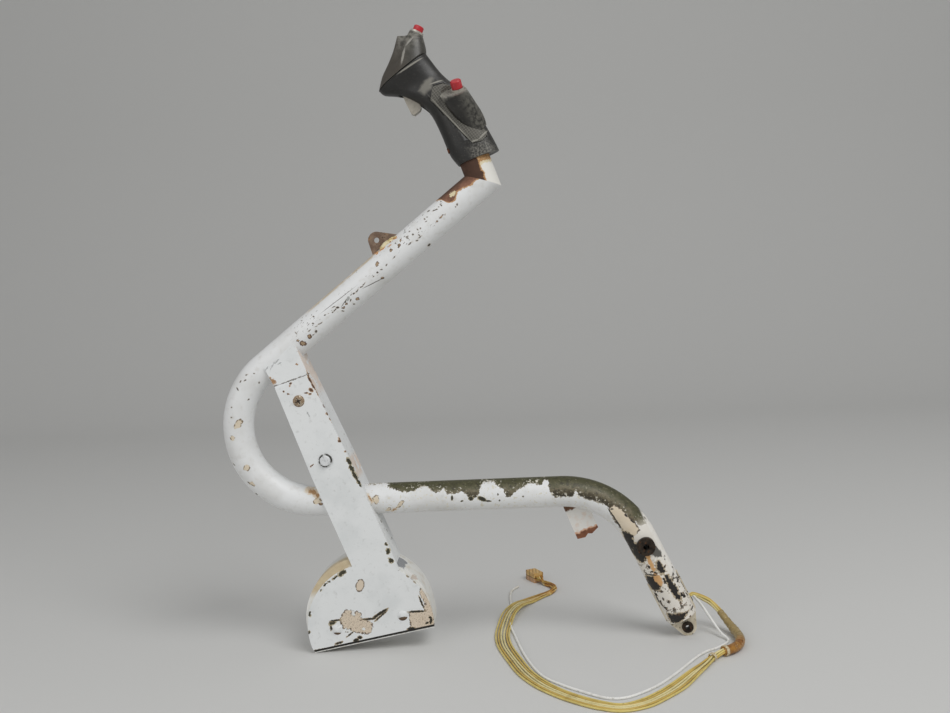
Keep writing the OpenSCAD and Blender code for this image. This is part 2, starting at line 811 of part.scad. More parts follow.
module switch_body() {
    difference() {
        rod(switch_r, -switch_depth, 0);
        rod(stem_r + stem_gap, chamber_top - eps, eps);
        rod(chamber_r, chamber_bottom, chamber_top);
    }
}
module switch_collar(d) {
    difference() {
        rod(collar_r, 0, collar_h);
        rod(d / 2 + cap_gap, -eps, collar_h + eps);
    }
}
module push_button(d, h) {
    flange_base = stem_flange_top - stem_flange_h;
    rotate_extrude() polygon([
        [0, flange_base], [stem_flange_r, flange_base], [stem_flange_r, stem_flange_top],
        [stem_r, stem_flange_top], [stem_r, cap_base], [d / 2, cap_base],
        [d / 2, cap_base + h - cap_chamfer], [d / 2 - cap_chamfer, cap_base + h], [0, cap_base + h]
    ]);
}
module button_spring() spring(stem_r, chamber_bottom, stem_flange_top - stem_flange_h);

module thumb_switch() color("dimgray") on_boss() switch_body();
module thumb_collar() color("lightgray") on_boss() switch_collar(thumb_button_d);
module thumb_button() color("#c03038") on_boss() push_button(thumb_button_d, thumb_button_h);
module thumb_spring() color("silver") on_boss() button_spring();
module top_switch() color("dimgray") on_crown() switch_body();
module top_collar() color("lightgray") on_crown() switch_collar(top_button_d);
module top_button() color("#c03038") on_crown() push_button(top_button_d, top_button_h);
module top_spring() color("silver") on_crown() button_spring();

// Trigger

module trigger() {
    color("#b5ada0") on_grip() difference() {
        slab(-trigger_width / 2, trigger_width / 2) union() {
            polygon(trigger_outline);
            translate(trigger_pivot) circle(trigger_hub_r);
        }
        at(trigger_pivot) cross_pin(trigger_pin_r + trigger_pin_gap, -far, far);
    }
}
module trigger_pin() {
    color("silver") on_grip() at(trigger_pivot)
        cross_pin(trigger_pin_r, -trigger_pin_length / 2, trigger_pin_length / 2);
}
module trigger_switch() {
    corner = trigger_switch_box[0];
    size = trigger_switch_box[1] - corner;
    color("#202020") on_grip() translate([corner[0], -trigger_switch_width / 2, corner[1]])
        cube([size[0], trigger_switch_width, size[1]]);
}
module trigger_spring() {
    color("silver") on_grip() translate([trigger_slot[1][0], 0, trigger_spring_z]) rotate([0, -90, 0])
        spring(trigger_spring_r, trigger_spring_span[0], trigger_spring_span[1]);
}

// Harness

// Wires inside the tube, from the grip to the grommet, past one side of the pivot bush
function leg_point(rear, y, down) = rear * leg_rear + [0, y, 0] + down * leg_down;
function in_plane(p) = [p[0], 0, p[1]];
function upper_point(s) = in_plane(upper_start + s * [cos(upper_slope), sin(upper_slope)]);
function stub_point(s) = in_plane(mitre + s * [-sin(stub_lean), cos(stub_lean)]);
function arc_point(c, r, a) = in_plane(c + r * [cos(a), sin(a)]);
function run_point(s) = in_plane([hook_centre[0] + s, run_height]);
module inner_wires() {
    bypass = -(bush_od / 2 + inner_wire_r + inner_wire_gap);
    route = concat(
        [stub_point(foot_height + spigot_depth - 2), stub_point(foot_height), stub_point(8)],
        [upper_point(upper_length - 14), upper_point(upper_length - 60)],
        [upper_point(upper_length / 2), upper_point(30)],
        [for (a = [90 + upper_slope : 24 : 260]) arc_point(hook_centre, hook_radius, a)],
        [run_point(20), run_point(run_length / 2), run_point(run_length - 25)],
        [arc_point(knee_centre, knee_radius - 1, 78)],
        [arc_point(knee_centre, knee_radius - 6, 50), leg_point(bypass, 0, -12), leg_point(bypass, 0, 0)],
        [leg_point(bypass, 0.5, 12), leg_point(-8, 5, 30), leg_point(-3, 7.5, 50)],
        [leg_point(-1, 7.5, 66), grommet_reach * leg_down + 9.5 * grommet_out, grommet_mouth]
    );
    color("khaki") cord(smooth(route, 2), inner_wire_r, [0, 1, 0]);
}

module harness_bundle() color("#e6dc9a") cord(smooth(bundle_route, 2), bundle_d / 2);
module harness_sleeve() color("#a5682a") cord(smooth(lead_route, 2), sleeve_d / 2);
module harness_ties() {
    color("#d9b98a") for (t = tie_places)
        translate([t[0], t[1], t[2]]) rotate([0, 0, t[3]]) rotate([0, 90, 0]) difference() {
            rod(t[4], -tie_width / 2, tie_width / 2);
            rod(t[4] - tie_wall, -tie_width, tie_width);
        }
}
module white_wire() color("white") cord(smooth(single_points, 2), single_wire_d / 2);

module at_connector() translate(connector_start) rotate([0, 0, connector_heading]) children();
module at_contacts() {
    for (row = [0 : contact_rows - 1], column = [0 : contact_columns - 1])
        translate([contact_start, (column - 1) * contact_pitch, (row - 0.5) * contact_pitch])
            rotate([0, 90, 0]) children();
}
module connector_housing() {
    color("#c69a5c") at_connector() difference() {
        translate([0, -connector_size[1] / 2, -connector_size[2] / 2]) cube(connector_size);
        at_contacts() rod(contact_hole_r, 0, connector_size[0]);
    }
}
module connector_contacts() {
    color("gold") at_connector() at_contacts() rod(contact_r, 0, contact_length);
}

stick_tube();
top_stub();
grip_spigot();
upper_tab();
lower_tab();
pivot_bush();
end_lug();
lug_bush();
wire_grommet();
brace_bracket();
arm_channel();
arm_front_plate();
arm_spacers();
arm_screw();
arm_bolt();
arm_washers();
arm_nuts();
bob_weight();
weight_rivets();
grip_body();
grip_head();
grip_side_cover();
cover_screws();
clamp_screw();
thumb_boss();
thumb_switch();
thumb_collar();
thumb_button();
thumb_spring();
top_switch();
top_collar();
top_button();
top_spring();
trigger();
trigger_pin();
trigger_switch();
trigger_spring();
inner_wires();
harness_bundle();
harness_sleeve();
harness_ties();
white_wire();
connector_housing();
connector_contacts();
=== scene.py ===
"""Looks of the control stick: camera, harness, painted and moulded surfaces, floor and light."""

from math import cos, hypot, pi, radians, sin, sqrt
from random import Random

import bmesh
import bpy
from mathutils import Matrix, Vector


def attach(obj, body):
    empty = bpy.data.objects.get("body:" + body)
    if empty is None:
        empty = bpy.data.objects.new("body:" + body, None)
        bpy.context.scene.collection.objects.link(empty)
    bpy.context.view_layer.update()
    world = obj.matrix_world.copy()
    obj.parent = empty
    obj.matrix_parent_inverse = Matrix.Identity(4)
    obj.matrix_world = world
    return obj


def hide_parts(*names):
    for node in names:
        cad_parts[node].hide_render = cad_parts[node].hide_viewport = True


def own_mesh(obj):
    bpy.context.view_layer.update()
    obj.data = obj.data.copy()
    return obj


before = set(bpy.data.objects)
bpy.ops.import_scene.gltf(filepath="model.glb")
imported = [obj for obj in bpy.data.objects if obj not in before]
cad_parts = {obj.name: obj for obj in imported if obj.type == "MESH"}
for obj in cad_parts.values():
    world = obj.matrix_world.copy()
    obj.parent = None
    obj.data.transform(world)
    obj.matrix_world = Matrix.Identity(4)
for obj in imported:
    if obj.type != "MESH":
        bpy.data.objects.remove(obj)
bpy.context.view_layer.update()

MM = 0.001
FLOOR_Z = -101 * MM

# Photograph's frame and lens
IMAGE_WIDTH = 950
IMAGE_HEIGHT = 713
FOCAL_PIXELS = 1000
SENSOR_WIDTH = 36
CAMERA_PLACE = Vector((-0.13128, -1.03019, 0.28274))
CAMERA_RIGHT = Vector((0.99849, 0.03131, -0.04522))
CAMERA_UP = Vector((0.04260, 0.07991, 0.99589))
CAMERA_ROLL = 2.5
# Millimetres that a pixel of the photograph covers at the stick
PIXEL_SIZE = 1.035

# Places of the stick's members in the X-Z plane, in millimetres and degrees
UPPER_START = (-387.117, 198.591)
UPPER_SLOPE = 37.6
HOOK_CENTRE = (-338.916, 136.0)
HOOK_RADIUS = 79
ARM_TOP = (-355.316, 185.2)
ARM_LEAN = 21.1
WEIGHT_CENTRE = (-289.116, -65.7)
WEIGHT_TILT = 10.5
KNEE_CENTRE = (-83.916, -33.0)
KNEE_RADIUS = 90
LEG_LEAN = 25
LEG_START = 25
TORN_TAB_TOP = (-75.5, 57.0)
TORN_TAB_LEAN = 21.4
GRIP_FOOT = (-158.5, 402.16)
STUB_LEAN = 19
TUBE_RADIUS = 15.875
# Depths of the near faces, and how far a wear mark reaches through the surface
ARM_FACE = -19.4
GRIP_FACE = -15.0
MARK_DEPTH = 9
FACE_MARK_DEPTH = 2.5
# Distance between neighbouring contacts of the connector, and where the wires enter it
CONTACT_PITCH = 4
CONNECTOR_START = Vector((-107, 198, -95))


# Camera

def make_camera():
    back = CAMERA_RIGHT.cross(CAMERA_UP)
    turn = Matrix((CAMERA_RIGHT, CAMERA_UP, back)).transposed().to_4x4()
    data = bpy.data.cameras.new("camera")
    data.sensor_fit = "HORIZONTAL"
    data.sensor_width = SENSOR_WIDTH
    data.lens = FOCAL_PIXELS * SENSOR_WIDTH / IMAGE_WIDTH
    camera = bpy.data.objects.new("camera", data)
    camera.matrix_world = Matrix.Translation(CAMERA_PLACE) @ turn
    bpy.context.scene.collection.objects.link(camera)
    bpy.context.scene.camera = camera


make_camera()


# Shapes made in this script

def add_object(name, data, material):
    piece = bpy.data.objects.new(name, data)
    piece.data.materials.append(material)
    bpy.context.scene.collection.objects.link(piece)
    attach(piece, "stick")
    return piece


def neighbours(points, i):
    return points[max(i - 1, 0)], points[min(i + 1, len(points) - 1)]


def heading(points, i):
    before, after = neighbours(points, i)
    return (after - before).normalized()


def curve_points(points, steps):
    """Points on the smooth curve through the given ones."""
    result = []
    for i in range(len(points) - 1):
        a = points[max(i - 1, 0)]
        b = points[i]
        c = points[i + 1]
        d = points[min(i + 2, len(points) - 1)]
        for k in range(steps):
            t = k / steps
            line = 2 * b + (c - a) * t
            bend = (2 * a - 5 * b + 4 * c - d) * t * t
            turn = (3 * b - a - 3 * c + d) * t * t * t
            result.append((line + bend + turn) / 2)
    result.append(points[-1])
    return result


def wire_curve(name, points, diameter, material):
    """A round wire on one smooth curve through the points."""
    data = bpy.data.curves.new(name, "CURVE")
    data.dimensions = "3D"
    data.bevel_depth = diameter / 2
    data.bevel_resolution = 3
    data.resolution_u = 8
    data.use_fill_caps = True
    spline = data.splines.new("BEZIER")
    spline.bezier_points.add(len(points) - 1)
    for i, point in enumerate(points):
        before, after = neighbours(points, i)
        reach = (after - before) / 6
        knot = spline.bezier_points[i]
        knot.handle_left_type = "FREE"
        knot.handle_right_type = "FREE"
        knot.co = point
        knot.handle_left = point - reach
        knot.handle_right = point + reach
    return add_object(name, data, material)


def tube_mesh(name, path, radii, sides):
    """A closed round tube along a path, with its own radius at each point."""
    vertices = []
    faces = []
    side = heading(path, 0).orthogonal().normalized()
    for i, centre in enumerate(path):
        along = heading(path, i)
        side = (side - along * side.dot(along)).normalized()
        rise = along.cross(side)
        for k in range(sides):
            angle = 2 * pi * k / sides
            vertices.append(centre + radii[i] * (side * cos(angle) + rise * sin(angle)))
    for i in range(len(path) - 1):
        for k in range(sides):
            after = (k + 1) % sides
            row = i * sides
            faces.append((row + k, row + after, row + sides + after, row + sides + k))
    last = (len(path) - 1) * sides
    faces.append(tuple(range(sides - 1, -1, -1)))
    faces.append(tuple(range(last, last + sides)))
    mesh = bpy.data.meshes.new(name)
    mesh.from_pydata(vertices, [], faces)
    mesh.shade_smooth()
    return mesh


# Surfaces

def tone(colour):
    """Scene-linear colour of a hexadecimal display colour."""
    values = [int(colour[i:i + 2], 16) / 255 for i in (1, 3, 5)]
    linear = [v / 12.92 if v <= 0.04045 else ((v + 0.055) / 1.055) ** 2.4 for v in values]
    return (*linear, 1.0)


def direction(angle):
    return cos(radians(angle)), sin(radians(angle))


def from_photo(px, py, depth):
    """Place in the X-Z plane that the photograph shows at a pixel, for a depth along Y."""
    ray = CAMERA_RIGHT * ((px - IMAGE_WIDTH / 2) / FOCAL_PIXELS)
    ray = ray + CAMERA_UP * ((IMAGE_HEIGHT / 2 - py) / FOCAL_PIXELS) - CAMERA_RIGHT.cross(CAMERA_UP)
    place = CAMERA_PLACE + ray * ((depth * MM - CAMERA_PLACE.y) / ray.y)
    return place.x / MM, place.z / MM


def in_upper(x, z):
    """Distance of a place along the upper run and across it."""
    c, d = direction(UPPER_SLOPE)
    dx, dz = x - UPPER_START[0], z - UPPER_START[1]
    return dx * c + dz * d, dz * c - dx * d


def tube_offset(x, z):
    """Distance of a place outward from the tube's centre line."""
    c, d = direction(LEG_LEAN)
    up, across = in_upper(x, z)
    if up > 0 and z > UPPER_START[1] - TUBE_RADIUS:
        return across
    if x < HOOK_CENTRE[0]:
        return hypot(x - HOOK_CENTRE[0], z - HOOK_CENTRE[1]) - HOOK_RADIUS
    if x < KNEE_CENTRE[0]:
        return z - KNEE_CENTRE[1] - KNEE_RADIUS
    if z * c - x * d < LEG_START:
        return x * c + z * d
    return hypot(x - KNEE_CENTRE[0], z - KNEE_CENTRE[1]) - KNEE_RADIUS


def on_tube(px, py):
    """Place on the tube's near side that the photograph shows at a pixel."""
    depth = -TUBE_RADIUS
    for _ in range(5):
        x, z = from_photo(px, py, depth)
        offset = min(abs(tube_offset(x, z)), TUBE_RADIUS)
        depth = -sqrt(TUBE_RADIUS ** 2 - offset ** 2)
    return x, depth, z


def on_face(px, py):
    """Place on the near face of the arm and the weight."""
    x, z = from_photo(px, py, ARM_FACE)
    return x, ARM_FACE, z


def on_grip(px, py):
    """Place on the grip's near side."""
    x, z = from_photo(px, py, GRIP_FACE)
    return x, GRIP_FACE, z


class Surface:
    """Nodes of one material. Its places are millimetres in the stick's frame."""

    def __init__(self, name, colour, rough, metal=0.0):
        self.material = bpy.data.materials.new(name)
        self.material.use_nodes = True
        self.tree = self.material.node_tree
        self.shader = self.tree.nodes["Principled BSDF"]
        place = self.node("ShaderNodeTexCoord", "Object")
        self.place = self.node("ShaderNodeVectorMath", 0, {0: place, "Scale": 1000.0}, operation="SCALE")
        self.colour = tone(colour)
        self.rough = rough
        self.metal = metal
        self.height = 0.0

    def put(self, socket, value):
        if isinstance(value, bpy.types.NodeSocket):
            self.tree.links.new(value, socket)
        else:
            socket.default_value = value

    def node(self, kind, output=0, inputs=None, **settings):
        node = self.tree.nodes.new(kind)
        for key, value in settings.items():
            setattr(node, key, value)
        for key, value in (inputs or {}).items():
            self.put(node.inputs[key], value)
        return node.outputs[output]

    def math(self, operation, a, b=0.0):
        return self.node("ShaderNodeMath", 0, {0: a, 1: b}, operation=operation)

    def either(self, *masks):
        result = masks[0]
        for mask in masks[1:]:
            result = self.math("MAXIMUM", result, mask)
        return result

    def both(self, *masks):
        result = masks[0]
        for mask in masks[1:]:
            result = self.math("MULTIPLY", result, mask)
        return result

    def ramp(self, value, low, high):
        """0 below low and 1 above high, or the other way round where low is the larger."""
        inputs = {"Value": value, "From Min": low, "From Max": high}
        return self.node("ShaderNodeMapRange", 0, inputs, interpolation_type="SMOOTHSTEP")

    def noise(self, size, detail=3.0, rough=0.55, place=None):
        inputs = {"Vector": place or self.place, "Scale": 1 / size, "Detail": detail, "Roughness": rough}
        return self.node("ShaderNodeTexNoise", 0, inputs)

    def shaken(self, value, size, amount, detail=4.0):
        """A value with noise added, up to about an amount either way."""
        centred = self.math("SUBTRACT", self.noise(size, detail, 0.62), 0.5)
        return self.math("ADD", value, self.math("MULTIPLY", centred, 4 * amount))

    def cells(self, size):
        return self.node("ShaderNodeTexVoronoi", 0, {"Vector": self.place, "Scale": 1 / size})

    def ragged(self, size, amount):
        """Places shaken by noise, which gives a mask a ragged edge."""
        inputs = {"Vector": self.place, "Scale": 1 / size, "Detail": 4.0, "Roughness": 0.6}
        shake = self.node("ShaderNodeTexNoise", 1, inputs)
        centred = self.node("ShaderNodeVectorMath", 0, {0: shake, 1: (0.5, 0.5, 0.5)}, operation="SUBTRACT")
        inputs = {0: centred, 1: (2 * amount,) * 3, 2: self.place}
        return self.node("ShaderNodeVectorMath", 0, inputs, operation="MULTIPLY_ADD")

    def flakes(self, size, share, place):
        """Places drawn towards the middles of small cells, which gives a mask an angular edge."""
        inputs = {"Vector": place, "Scale": 1 / size}
        middle = self.node("ShaderNodeTexVoronoi", "Position", inputs)
        return self.node("ShaderNodeMix", 1, {0: share, 4: place, 5: middle}, data_type="VECTOR")

    def along(self, origin, heading, place=None):
        """Distance from an origin along a direction, both in the X-Z plane."""
        shift = (-origin[0], 0.0, -origin[1])
        moved = self.node("ShaderNodeVectorMath", 0, {0: place or self.place, 1: shift}, operation="ADD")
        inputs = {0: moved, 1: (heading[0], 0.0, heading[1])}
        return self.node("ShaderNodeVectorMath", "Value", inputs, operation="DOT_PRODUCT")

    def axis(self, letter, place=None):
        """One coordinate of the places."""
        return self.node("ShaderNodeSeparateXYZ", letter, {0: place or self.place})

    def turned(self, lean, stretch):
        """Places turned into a member's own direction and stretched along it."""
        inputs = {"Vector": self.place, "Rotation": (0.0, radians(-lean), 0.0), "Scale": stretch}
        return self.node("ShaderNodeMapping", 0, inputs, vector_type="TEXTURE")

    def chips(self, place_of, rows, place, size=1.0, depth=MARK_DEPTH):
        """Distance to the nearest mark's centre, up to 2, where 1 is that mark's edge."""
        result = None
        for px, py, half_length, half_width, turn in rows:
            reach = (size * half_length * PIXEL_SIZE, depth, size * half_width * PIXEL_SIZE)
            inputs = {"Vector": place, "Location": place_of(px, py), "Scale": [2 * r for r in reach]}
            inputs["Rotation"] = (0.0, radians(CAMERA_ROLL - turn), 0.0)
            local = self.node("ShaderNodeMapping", 0, inputs, vector_type="TEXTURE")
            inside = self.node("ShaderNodeTexGradient", "Fac", {"Vector": local}, gradient_type="SPHERICAL")
            result = inside if result is None else self.math("MAXIMUM", result, inside)
        return self.math("MULTIPLY", self.math("SUBTRACT", 1.0, result), 2.0)

    def patch(self, place_of, corners, place, near):
        """Distance outside an outline, clockwise in the photograph, or behind a depth; below 0 within."""
        result = self.math("SUBTRACT", self.axis("Y"), near)
        flat = [place_of(*corner) for corner in corners]
        for a, b in zip(flat, flat[1:] + flat[:1]):
            step = Vector((b[0] - a[0], b[2] - a[2])).normalized()
            away = self.along((a[0], a[2]), (-step.y, step.x), place)
            result = self.math("MAXIMUM", result, away)
        return result

    def patches(self, place_of, outlines, place, near):
        result = None
        for corners in outlines:
            away = self.patch(place_of, corners, place, near)
            result = away if result is None else self.math("MINIMUM", result, away)
        return result

    def profile(self, value, points):
        """Function of a value, straight between given points."""
        first = points[0][0]
        last = points[-1][0]
        low = min(p[1] for p in points)
        high = max(p[1] for p in points)
        inputs = {"Value": value, "From Min": first, "From Max": last}
        share = self.node("ShaderNodeMapRange", 0, inputs)
        node = self.tree.nodes.new("ShaderNodeFloatCurve")
        curve = node.mapping.curves[0]
        while len(curve.points) < len(points):
            curve.points.new(0.5, 0.5)
        for knot, (x, y) in zip(curve.points, points):
            knot.location = ((x - first) / (last - first), (y - low) / (high - low))
            knot.handle_type = "VECTOR"
        node.mapping.update()
        self.put(node.inputs["Value"], share)
        inputs = {"Value": node.outputs[0], "To Min": low, "To Max": high}
        return self.node("ShaderNodeMapRange", 0, inputs)

    def blend(self, a, b, amount):
        inputs = {0: amount, 6: a, 7: b}
        return self.node("ShaderNodeMix", 2, inputs, data_type="RGBA")

    def tones(self, amount, *colours):
        """Colour that goes through several tones as the amount goes from 0 to 1."""
        result = tone(colours[0])
        steps = len(colours) - 1
        for i, colour in enumerate(colours[1:]):
            share = self.ramp(amount, i / steps, (i + 1) / steps)
            result = self.blend(result, tone(colour), share)
        return result

    def grained(self, size, detail, *colours):
        """Colour that goes through several tones with a noise."""
        return self.tones(self.noise(size, detail), *colours)

    def coat(self, mask, colour, rough=None, depth=0.0):
        """Lays a colour over what is there, and sinks it by a depth in millimetres."""
        colour = tone(colour) if isinstance(colour, str) else colour
        self.colour = self.blend(self.colour, colour, mask)
        if rough is not None:
            inputs = {0: mask, 2: self.rough, 3: rough}
            self.rough = self.node("ShaderNodeMix", 0, inputs)
        if depth:
            sunk = self.math("MULTIPLY", mask, -depth)
            self.height = self.math("ADD", self.height, sunk)

    def mottle(self, grain, span, colour, rough=None, share=None, depth=0.0):
        """Lays a colour where a noise of a grain goes through a span, at a share of its strength."""
        mask = self.ramp(self.noise(*grain), *span)
        if share is not None:
            mask = self.both(mask, share)
        self.coat(mask, colour, rough, depth)

    def relief(self, value, depth):
        """Adds to the height that the bump is made from."""
        self.height = self.math("ADD", self.height, self.math("MULTIPLY", value, depth))

    def done(self):
        self.put(self.shader.inputs["Base Color"], self.colour)
        self.put(self.shader.inputs["Roughness"], self.rough)
        self.put(self.shader.inputs["Metallic"], self.metal)
        if isinstance(self.height, bpy.types.NodeSocket):
            inputs = {"Height": self.height, "Distance": MM, "Strength": 1.0}
            self.put(self.shader.inputs["Normal"], self.node("ShaderNodeBump", 0, inputs))
        return self.material


# Wear marks, as rows of pixel, half length, half width and turn in the photograph
UPPER_DARK = [
    (457, 204.5, 1.3, 0.8, 80), (455.5, 207, 0.8, 0.5, 60), (441, 205, 1.5, 0.6, -45),
    (441, 201.5, 0.8, 0.5, 70), (435, 210, 2.7, 0.6, 20), (438.5, 207, 0.9, 0.5, 20),
    (428.5, 211, 1.6, 0.5, 35), (445, 214.5, 0.9, 0.6, 75), (424.5, 219, 1.0, 0.9, 0),
    (427, 217, 0.9, 0.5, 20), (426, 221.5, 1.4, 0.5, 25), (417.5, 229.5, 1.2, 0.6, -40),
    (420.5, 228.5, 0.9, 0.5, 50), (413, 234.5, 1.0, 0.7, 0), (409.5, 231.5, 1.0, 0.5, 30),
    (407, 236.5, 1.7, 0.5, 25), (420, 237, 2.3, 0.5, 38), (419, 235, 1.1, 0.5, -50),
    (417, 240.5, 1.4, 0.7, 20), (410, 243.5, 2.3, 0.6, 40), (429, 245, 1.8, 1.0, 40),
    (407.5, 238, 1.3, 0.5, -20), (386.5, 265, 1.3, 0.6, 60), (394, 257.5, 2.1, 0.5, 45),
    (381.5, 269.5, 1.1, 0.5, 10), (377.5, 272.5, 1.0, 0.7, 0), (373.5, 276.5, 1.0, 0.5, 30),
    (499.5, 181.5, 1.6, 0.5, 60), (364, 284, 2.3, 0.6, 50), (361.5, 287, 1.7, 0.6, 30),
    (357, 291, 2.3, 0.6, 50), (354, 293.5, 1.5, 0.7, 30), (354, 304, 1.0, 0.8, 0),
    (345.5, 301.5, 1.9, 0.5, 80), (350.5, 300.5, 1.7, 0.5, 70), (343, 311, 1.4, 0.6, -5),
    (337.5, 307.5, 1.7, 1.0, 0), (333.5, 307, 2.1, 0.5, 25), (335, 310, 2.1, 0.5, 45),
    (332.5, 312.5, 0.9, 0.5, 30), (328.5, 313.5, 0.8, 0.5, 0), (325, 315, 1.2, 0.5, 30),
    (320, 323.5, 2.7, 0.6, 30), (313, 323.5, 1.2, 0.6, 0), (316, 326.5, 1.3, 0.5, 20),
    (313.5, 316.5, 1.0, 0.6, -20), (316, 331.5, 1.5, 1.1, 70), (309.5, 330.5, 1.6, 0.5, 35),
    (313.5, 334.5, 1.5, 0.5, 40), (296, 333, 1.6, 0.5, -45)
]
UPPER_BROWN = [
    (303, 343.5, 3.4, 2.5, -20), (309.5, 336.5, 2.2, 2.4, 0), (298, 340.5, 1.7, 1.0, -50),
    (382.5, 278, 1.9, 1.1, 15), (357.5, 299, 1.9, 1.5, 0), (346.5, 304, 1.7, 1.0, 20),
    (343.5, 307.5, 1.9, 0.8, 15), (391, 250.5, 2.1, 1.4, 80), (400.5, 240.5, 1.8, 1.0, 75),
    (399, 245.5, 2.1, 1.0, 70), (377, 264, 2.5, 1.8, 80), (441.5, 216.5, 2.7, 0.7, 50),
    (437, 221.5, 1.7, 0.6, 60), (321, 504, 1.9, 1.2, 0)
]
UPPER_GREY = [(348, 299, 2.5, 1.4, 70), (494, 171.5, 0.9, 0.7, 0), (404.5, 232.5, 1.5, 0.5, 40)]
UPPER_LINES = [(373.5, 283, 11.8, 0.45, 27), (338, 300, 21, 0.3, 37), (344, 303, 5.0, 0.4, 55)]
HOOK_DARK = [
    (246.5, 375, 1.5, 0.6, 20), (240.5, 381.5, 1.4, 0.6, 50), (245, 380.5, 1.6, 0.6, 30),
    (237.5, 389, 2.1, 0.6, -50), (231.5, 407.5, 0.9, 0.7, 0), (231.5, 417.5, 1.0, 0.7, 0),
    (248.5, 399.5, 1.1, 0.5, 40), (254, 373.5, 0.8, 0.6, 0), (259, 382.5, 1.1, 0.7, 80),
    (234, 464.5, 1.9, 0.6, -40), (249, 483, 2.1, 0.6, -40), (256.5, 494, 1.6, 0.6, -30)
]
HOOK_BEIGE = [
    (232, 438, 2.9, 2.0, 85), (246.5, 468, 3.3, 2.2, 30), (252, 484, 3.1, 1.5, -20),
    (318, 501.5, 3.6, 2.9, 0), (376, 500, 4.1, 3.2, 80), (400, 504.5, 4.8, 2.2, 55),
    (388, 509.5, 2.5, 1.2, 20), (238, 424, 5.2, 3.2, 55)
]
HOOK_RUST = [
    (312, 491.5, 6.4, 2.6, -18), (317, 495.5, 2.9, 2.3, -40), (370, 498.5, 4.5, 1.5, -60),
    (394, 509.5, 3.4, 1.3, 22)
]
RUN_DARK = [
    (452, 498, 2.3, 1.1, 88), (462, 501, 1.4, 0.6, 20), (482, 499, 4.2, 2.0, -25),
    (488, 501, 3.0, 0.9, 0), (471, 498.5, 2.3, 2.1, 0), (499.5, 500.5, 0.8, 0.8, 0),
    (498, 494.5, 1.0, 0.8, 80), (523, 496.5, 0.8, 0.8, 0)
]
WELD_CREAM = [
    (387, 241, 3.6, 2.2, 48), (375.5, 250.5, 2.2, 1.5, 30), (452.5, 194, 3.8, 2.0, 38),
    (486, 161.5, 2.4, 1.3, 38), (490.5, 168, 4.6, 3.2, 40)
]
WELD_ORANGE = [
    (382.5, 248.5, 3.5, 1.3, 38), (394.5, 238.5, 2.7, 1.3, 20), (376.5, 253, 3.0, 1.2, 20),
    (491.5, 162, 3.1, 2.3, -40), (482.5, 166.5, 3.1, 2.1, 58), (390, 246, 2.7, 0.9, 58)
]

# Lower edge of the old olive coat on the level run and the knee, in pixels
OLIVE_EDGE = [
    (387, 483), (389, 486.5), (393, 488.5), (402, 492), (412, 491), (420.5, 487), (427, 486),
    (434, 491.5), (439.5, 491.5), (444, 488), (447, 493), (454, 494), (458, 492.5), (462.5, 490),
    (466, 494), (471.5, 500.5), (474, 497), (479, 495), (480, 487), (484, 481.5), (494, 480.5),
    (497, 486), (504, 488.5), (505.5, 497), (508.5, 497), (513, 494), (517, 489.5), (524, 486),
    (531.5, 483), (542, 485), (543.5, 479.5), (548.5, 480), (549.5, 490.5), (553, 495.5), (556, 497),
    (573, 497), (576, 488.5), (579.5, 496), (586, 498.5), (599.5, 503), (608.5, 506)
]
# Ends of that edge, as distance along X and out from the tube's centre line
OLIVE_BEFORE = [(-300, 17)]
OLIVE_AFTER = [(-24, 2), (-8, 5), (4, 11), (20, 18)]
# Lower edge of the rust below the grip, in pixels
RUST_EDGE = [
    (441, 199), (445.5, 201.5), (450, 202), (454, 200), (456.5, 191.5), (461, 188), (465, 186.5),
    (470, 185), (475, 180), (479, 177), (483, 174.5), (486, 171), (488, 169)
]
# Ends of that edge, as distance along the upper run and across it
RUST_BEFORE = [(244, 19)]
RUST_AFTER = [(322, 6), (340, 8)]

# Patches on the lower leg, as outlines in pixels
LEG_CREAM = [
    [
        (609, 507), (614, 505.5), (624, 512), (632, 519), (639.5, 529),
        (637, 534), (631, 536), (624, 532), (611, 515)
    ]
]
LEG_BLACK = [
    [(622, 530), (632, 534.5), (635, 545), (631.5, 552), (625, 540)],
    [(634, 543), (641.5, 550), (646, 557), (644, 563), (639.5, 561), (631.5, 552)],
    [(645.5, 575), (657, 576), (661, 581), (660, 590), (652, 589), (647, 582)],
    [(657, 561), (661, 563), (665, 571), (661, 574), (657, 570)],
    [(665, 575), (669, 576), (678, 590), (681, 600), (676, 599), (668, 586)],
    [(667, 614), (688, 611), (682, 621), (672, 622)]
]
LEG_GREY = [[(652, 543.5), (657, 545.5), (661.5, 552), (661.5, 556.5), (655, 557.5), (650.5, 553)]]
# Lines and rust streaks there, in the form of the wear marks
LEG_LINES = [
    (614.5, 518, 13.3, 0.7, -56), (649, 567, 2.0, 1.0, -60), (678, 575, 3.5, 1.2, -58),
    (652, 575, 5.5, 0.7, 0), (612, 509, 1.6, 0.9, 0), (626, 515.5, 2.2, 0.9, -45),
    (632, 521, 2.6, 0.9, -42), (692, 608, 2.5, 0.9, 40)
]
LEG_ORANGE = [
    (649, 558, 6.2, 2.1, -60), (652.5, 567, 6.0, 1.8, -72), (658.5, 580, 7.0, 3.4, -58),
    (649.5, 563.5, 4.5, 1.5, -75)
]


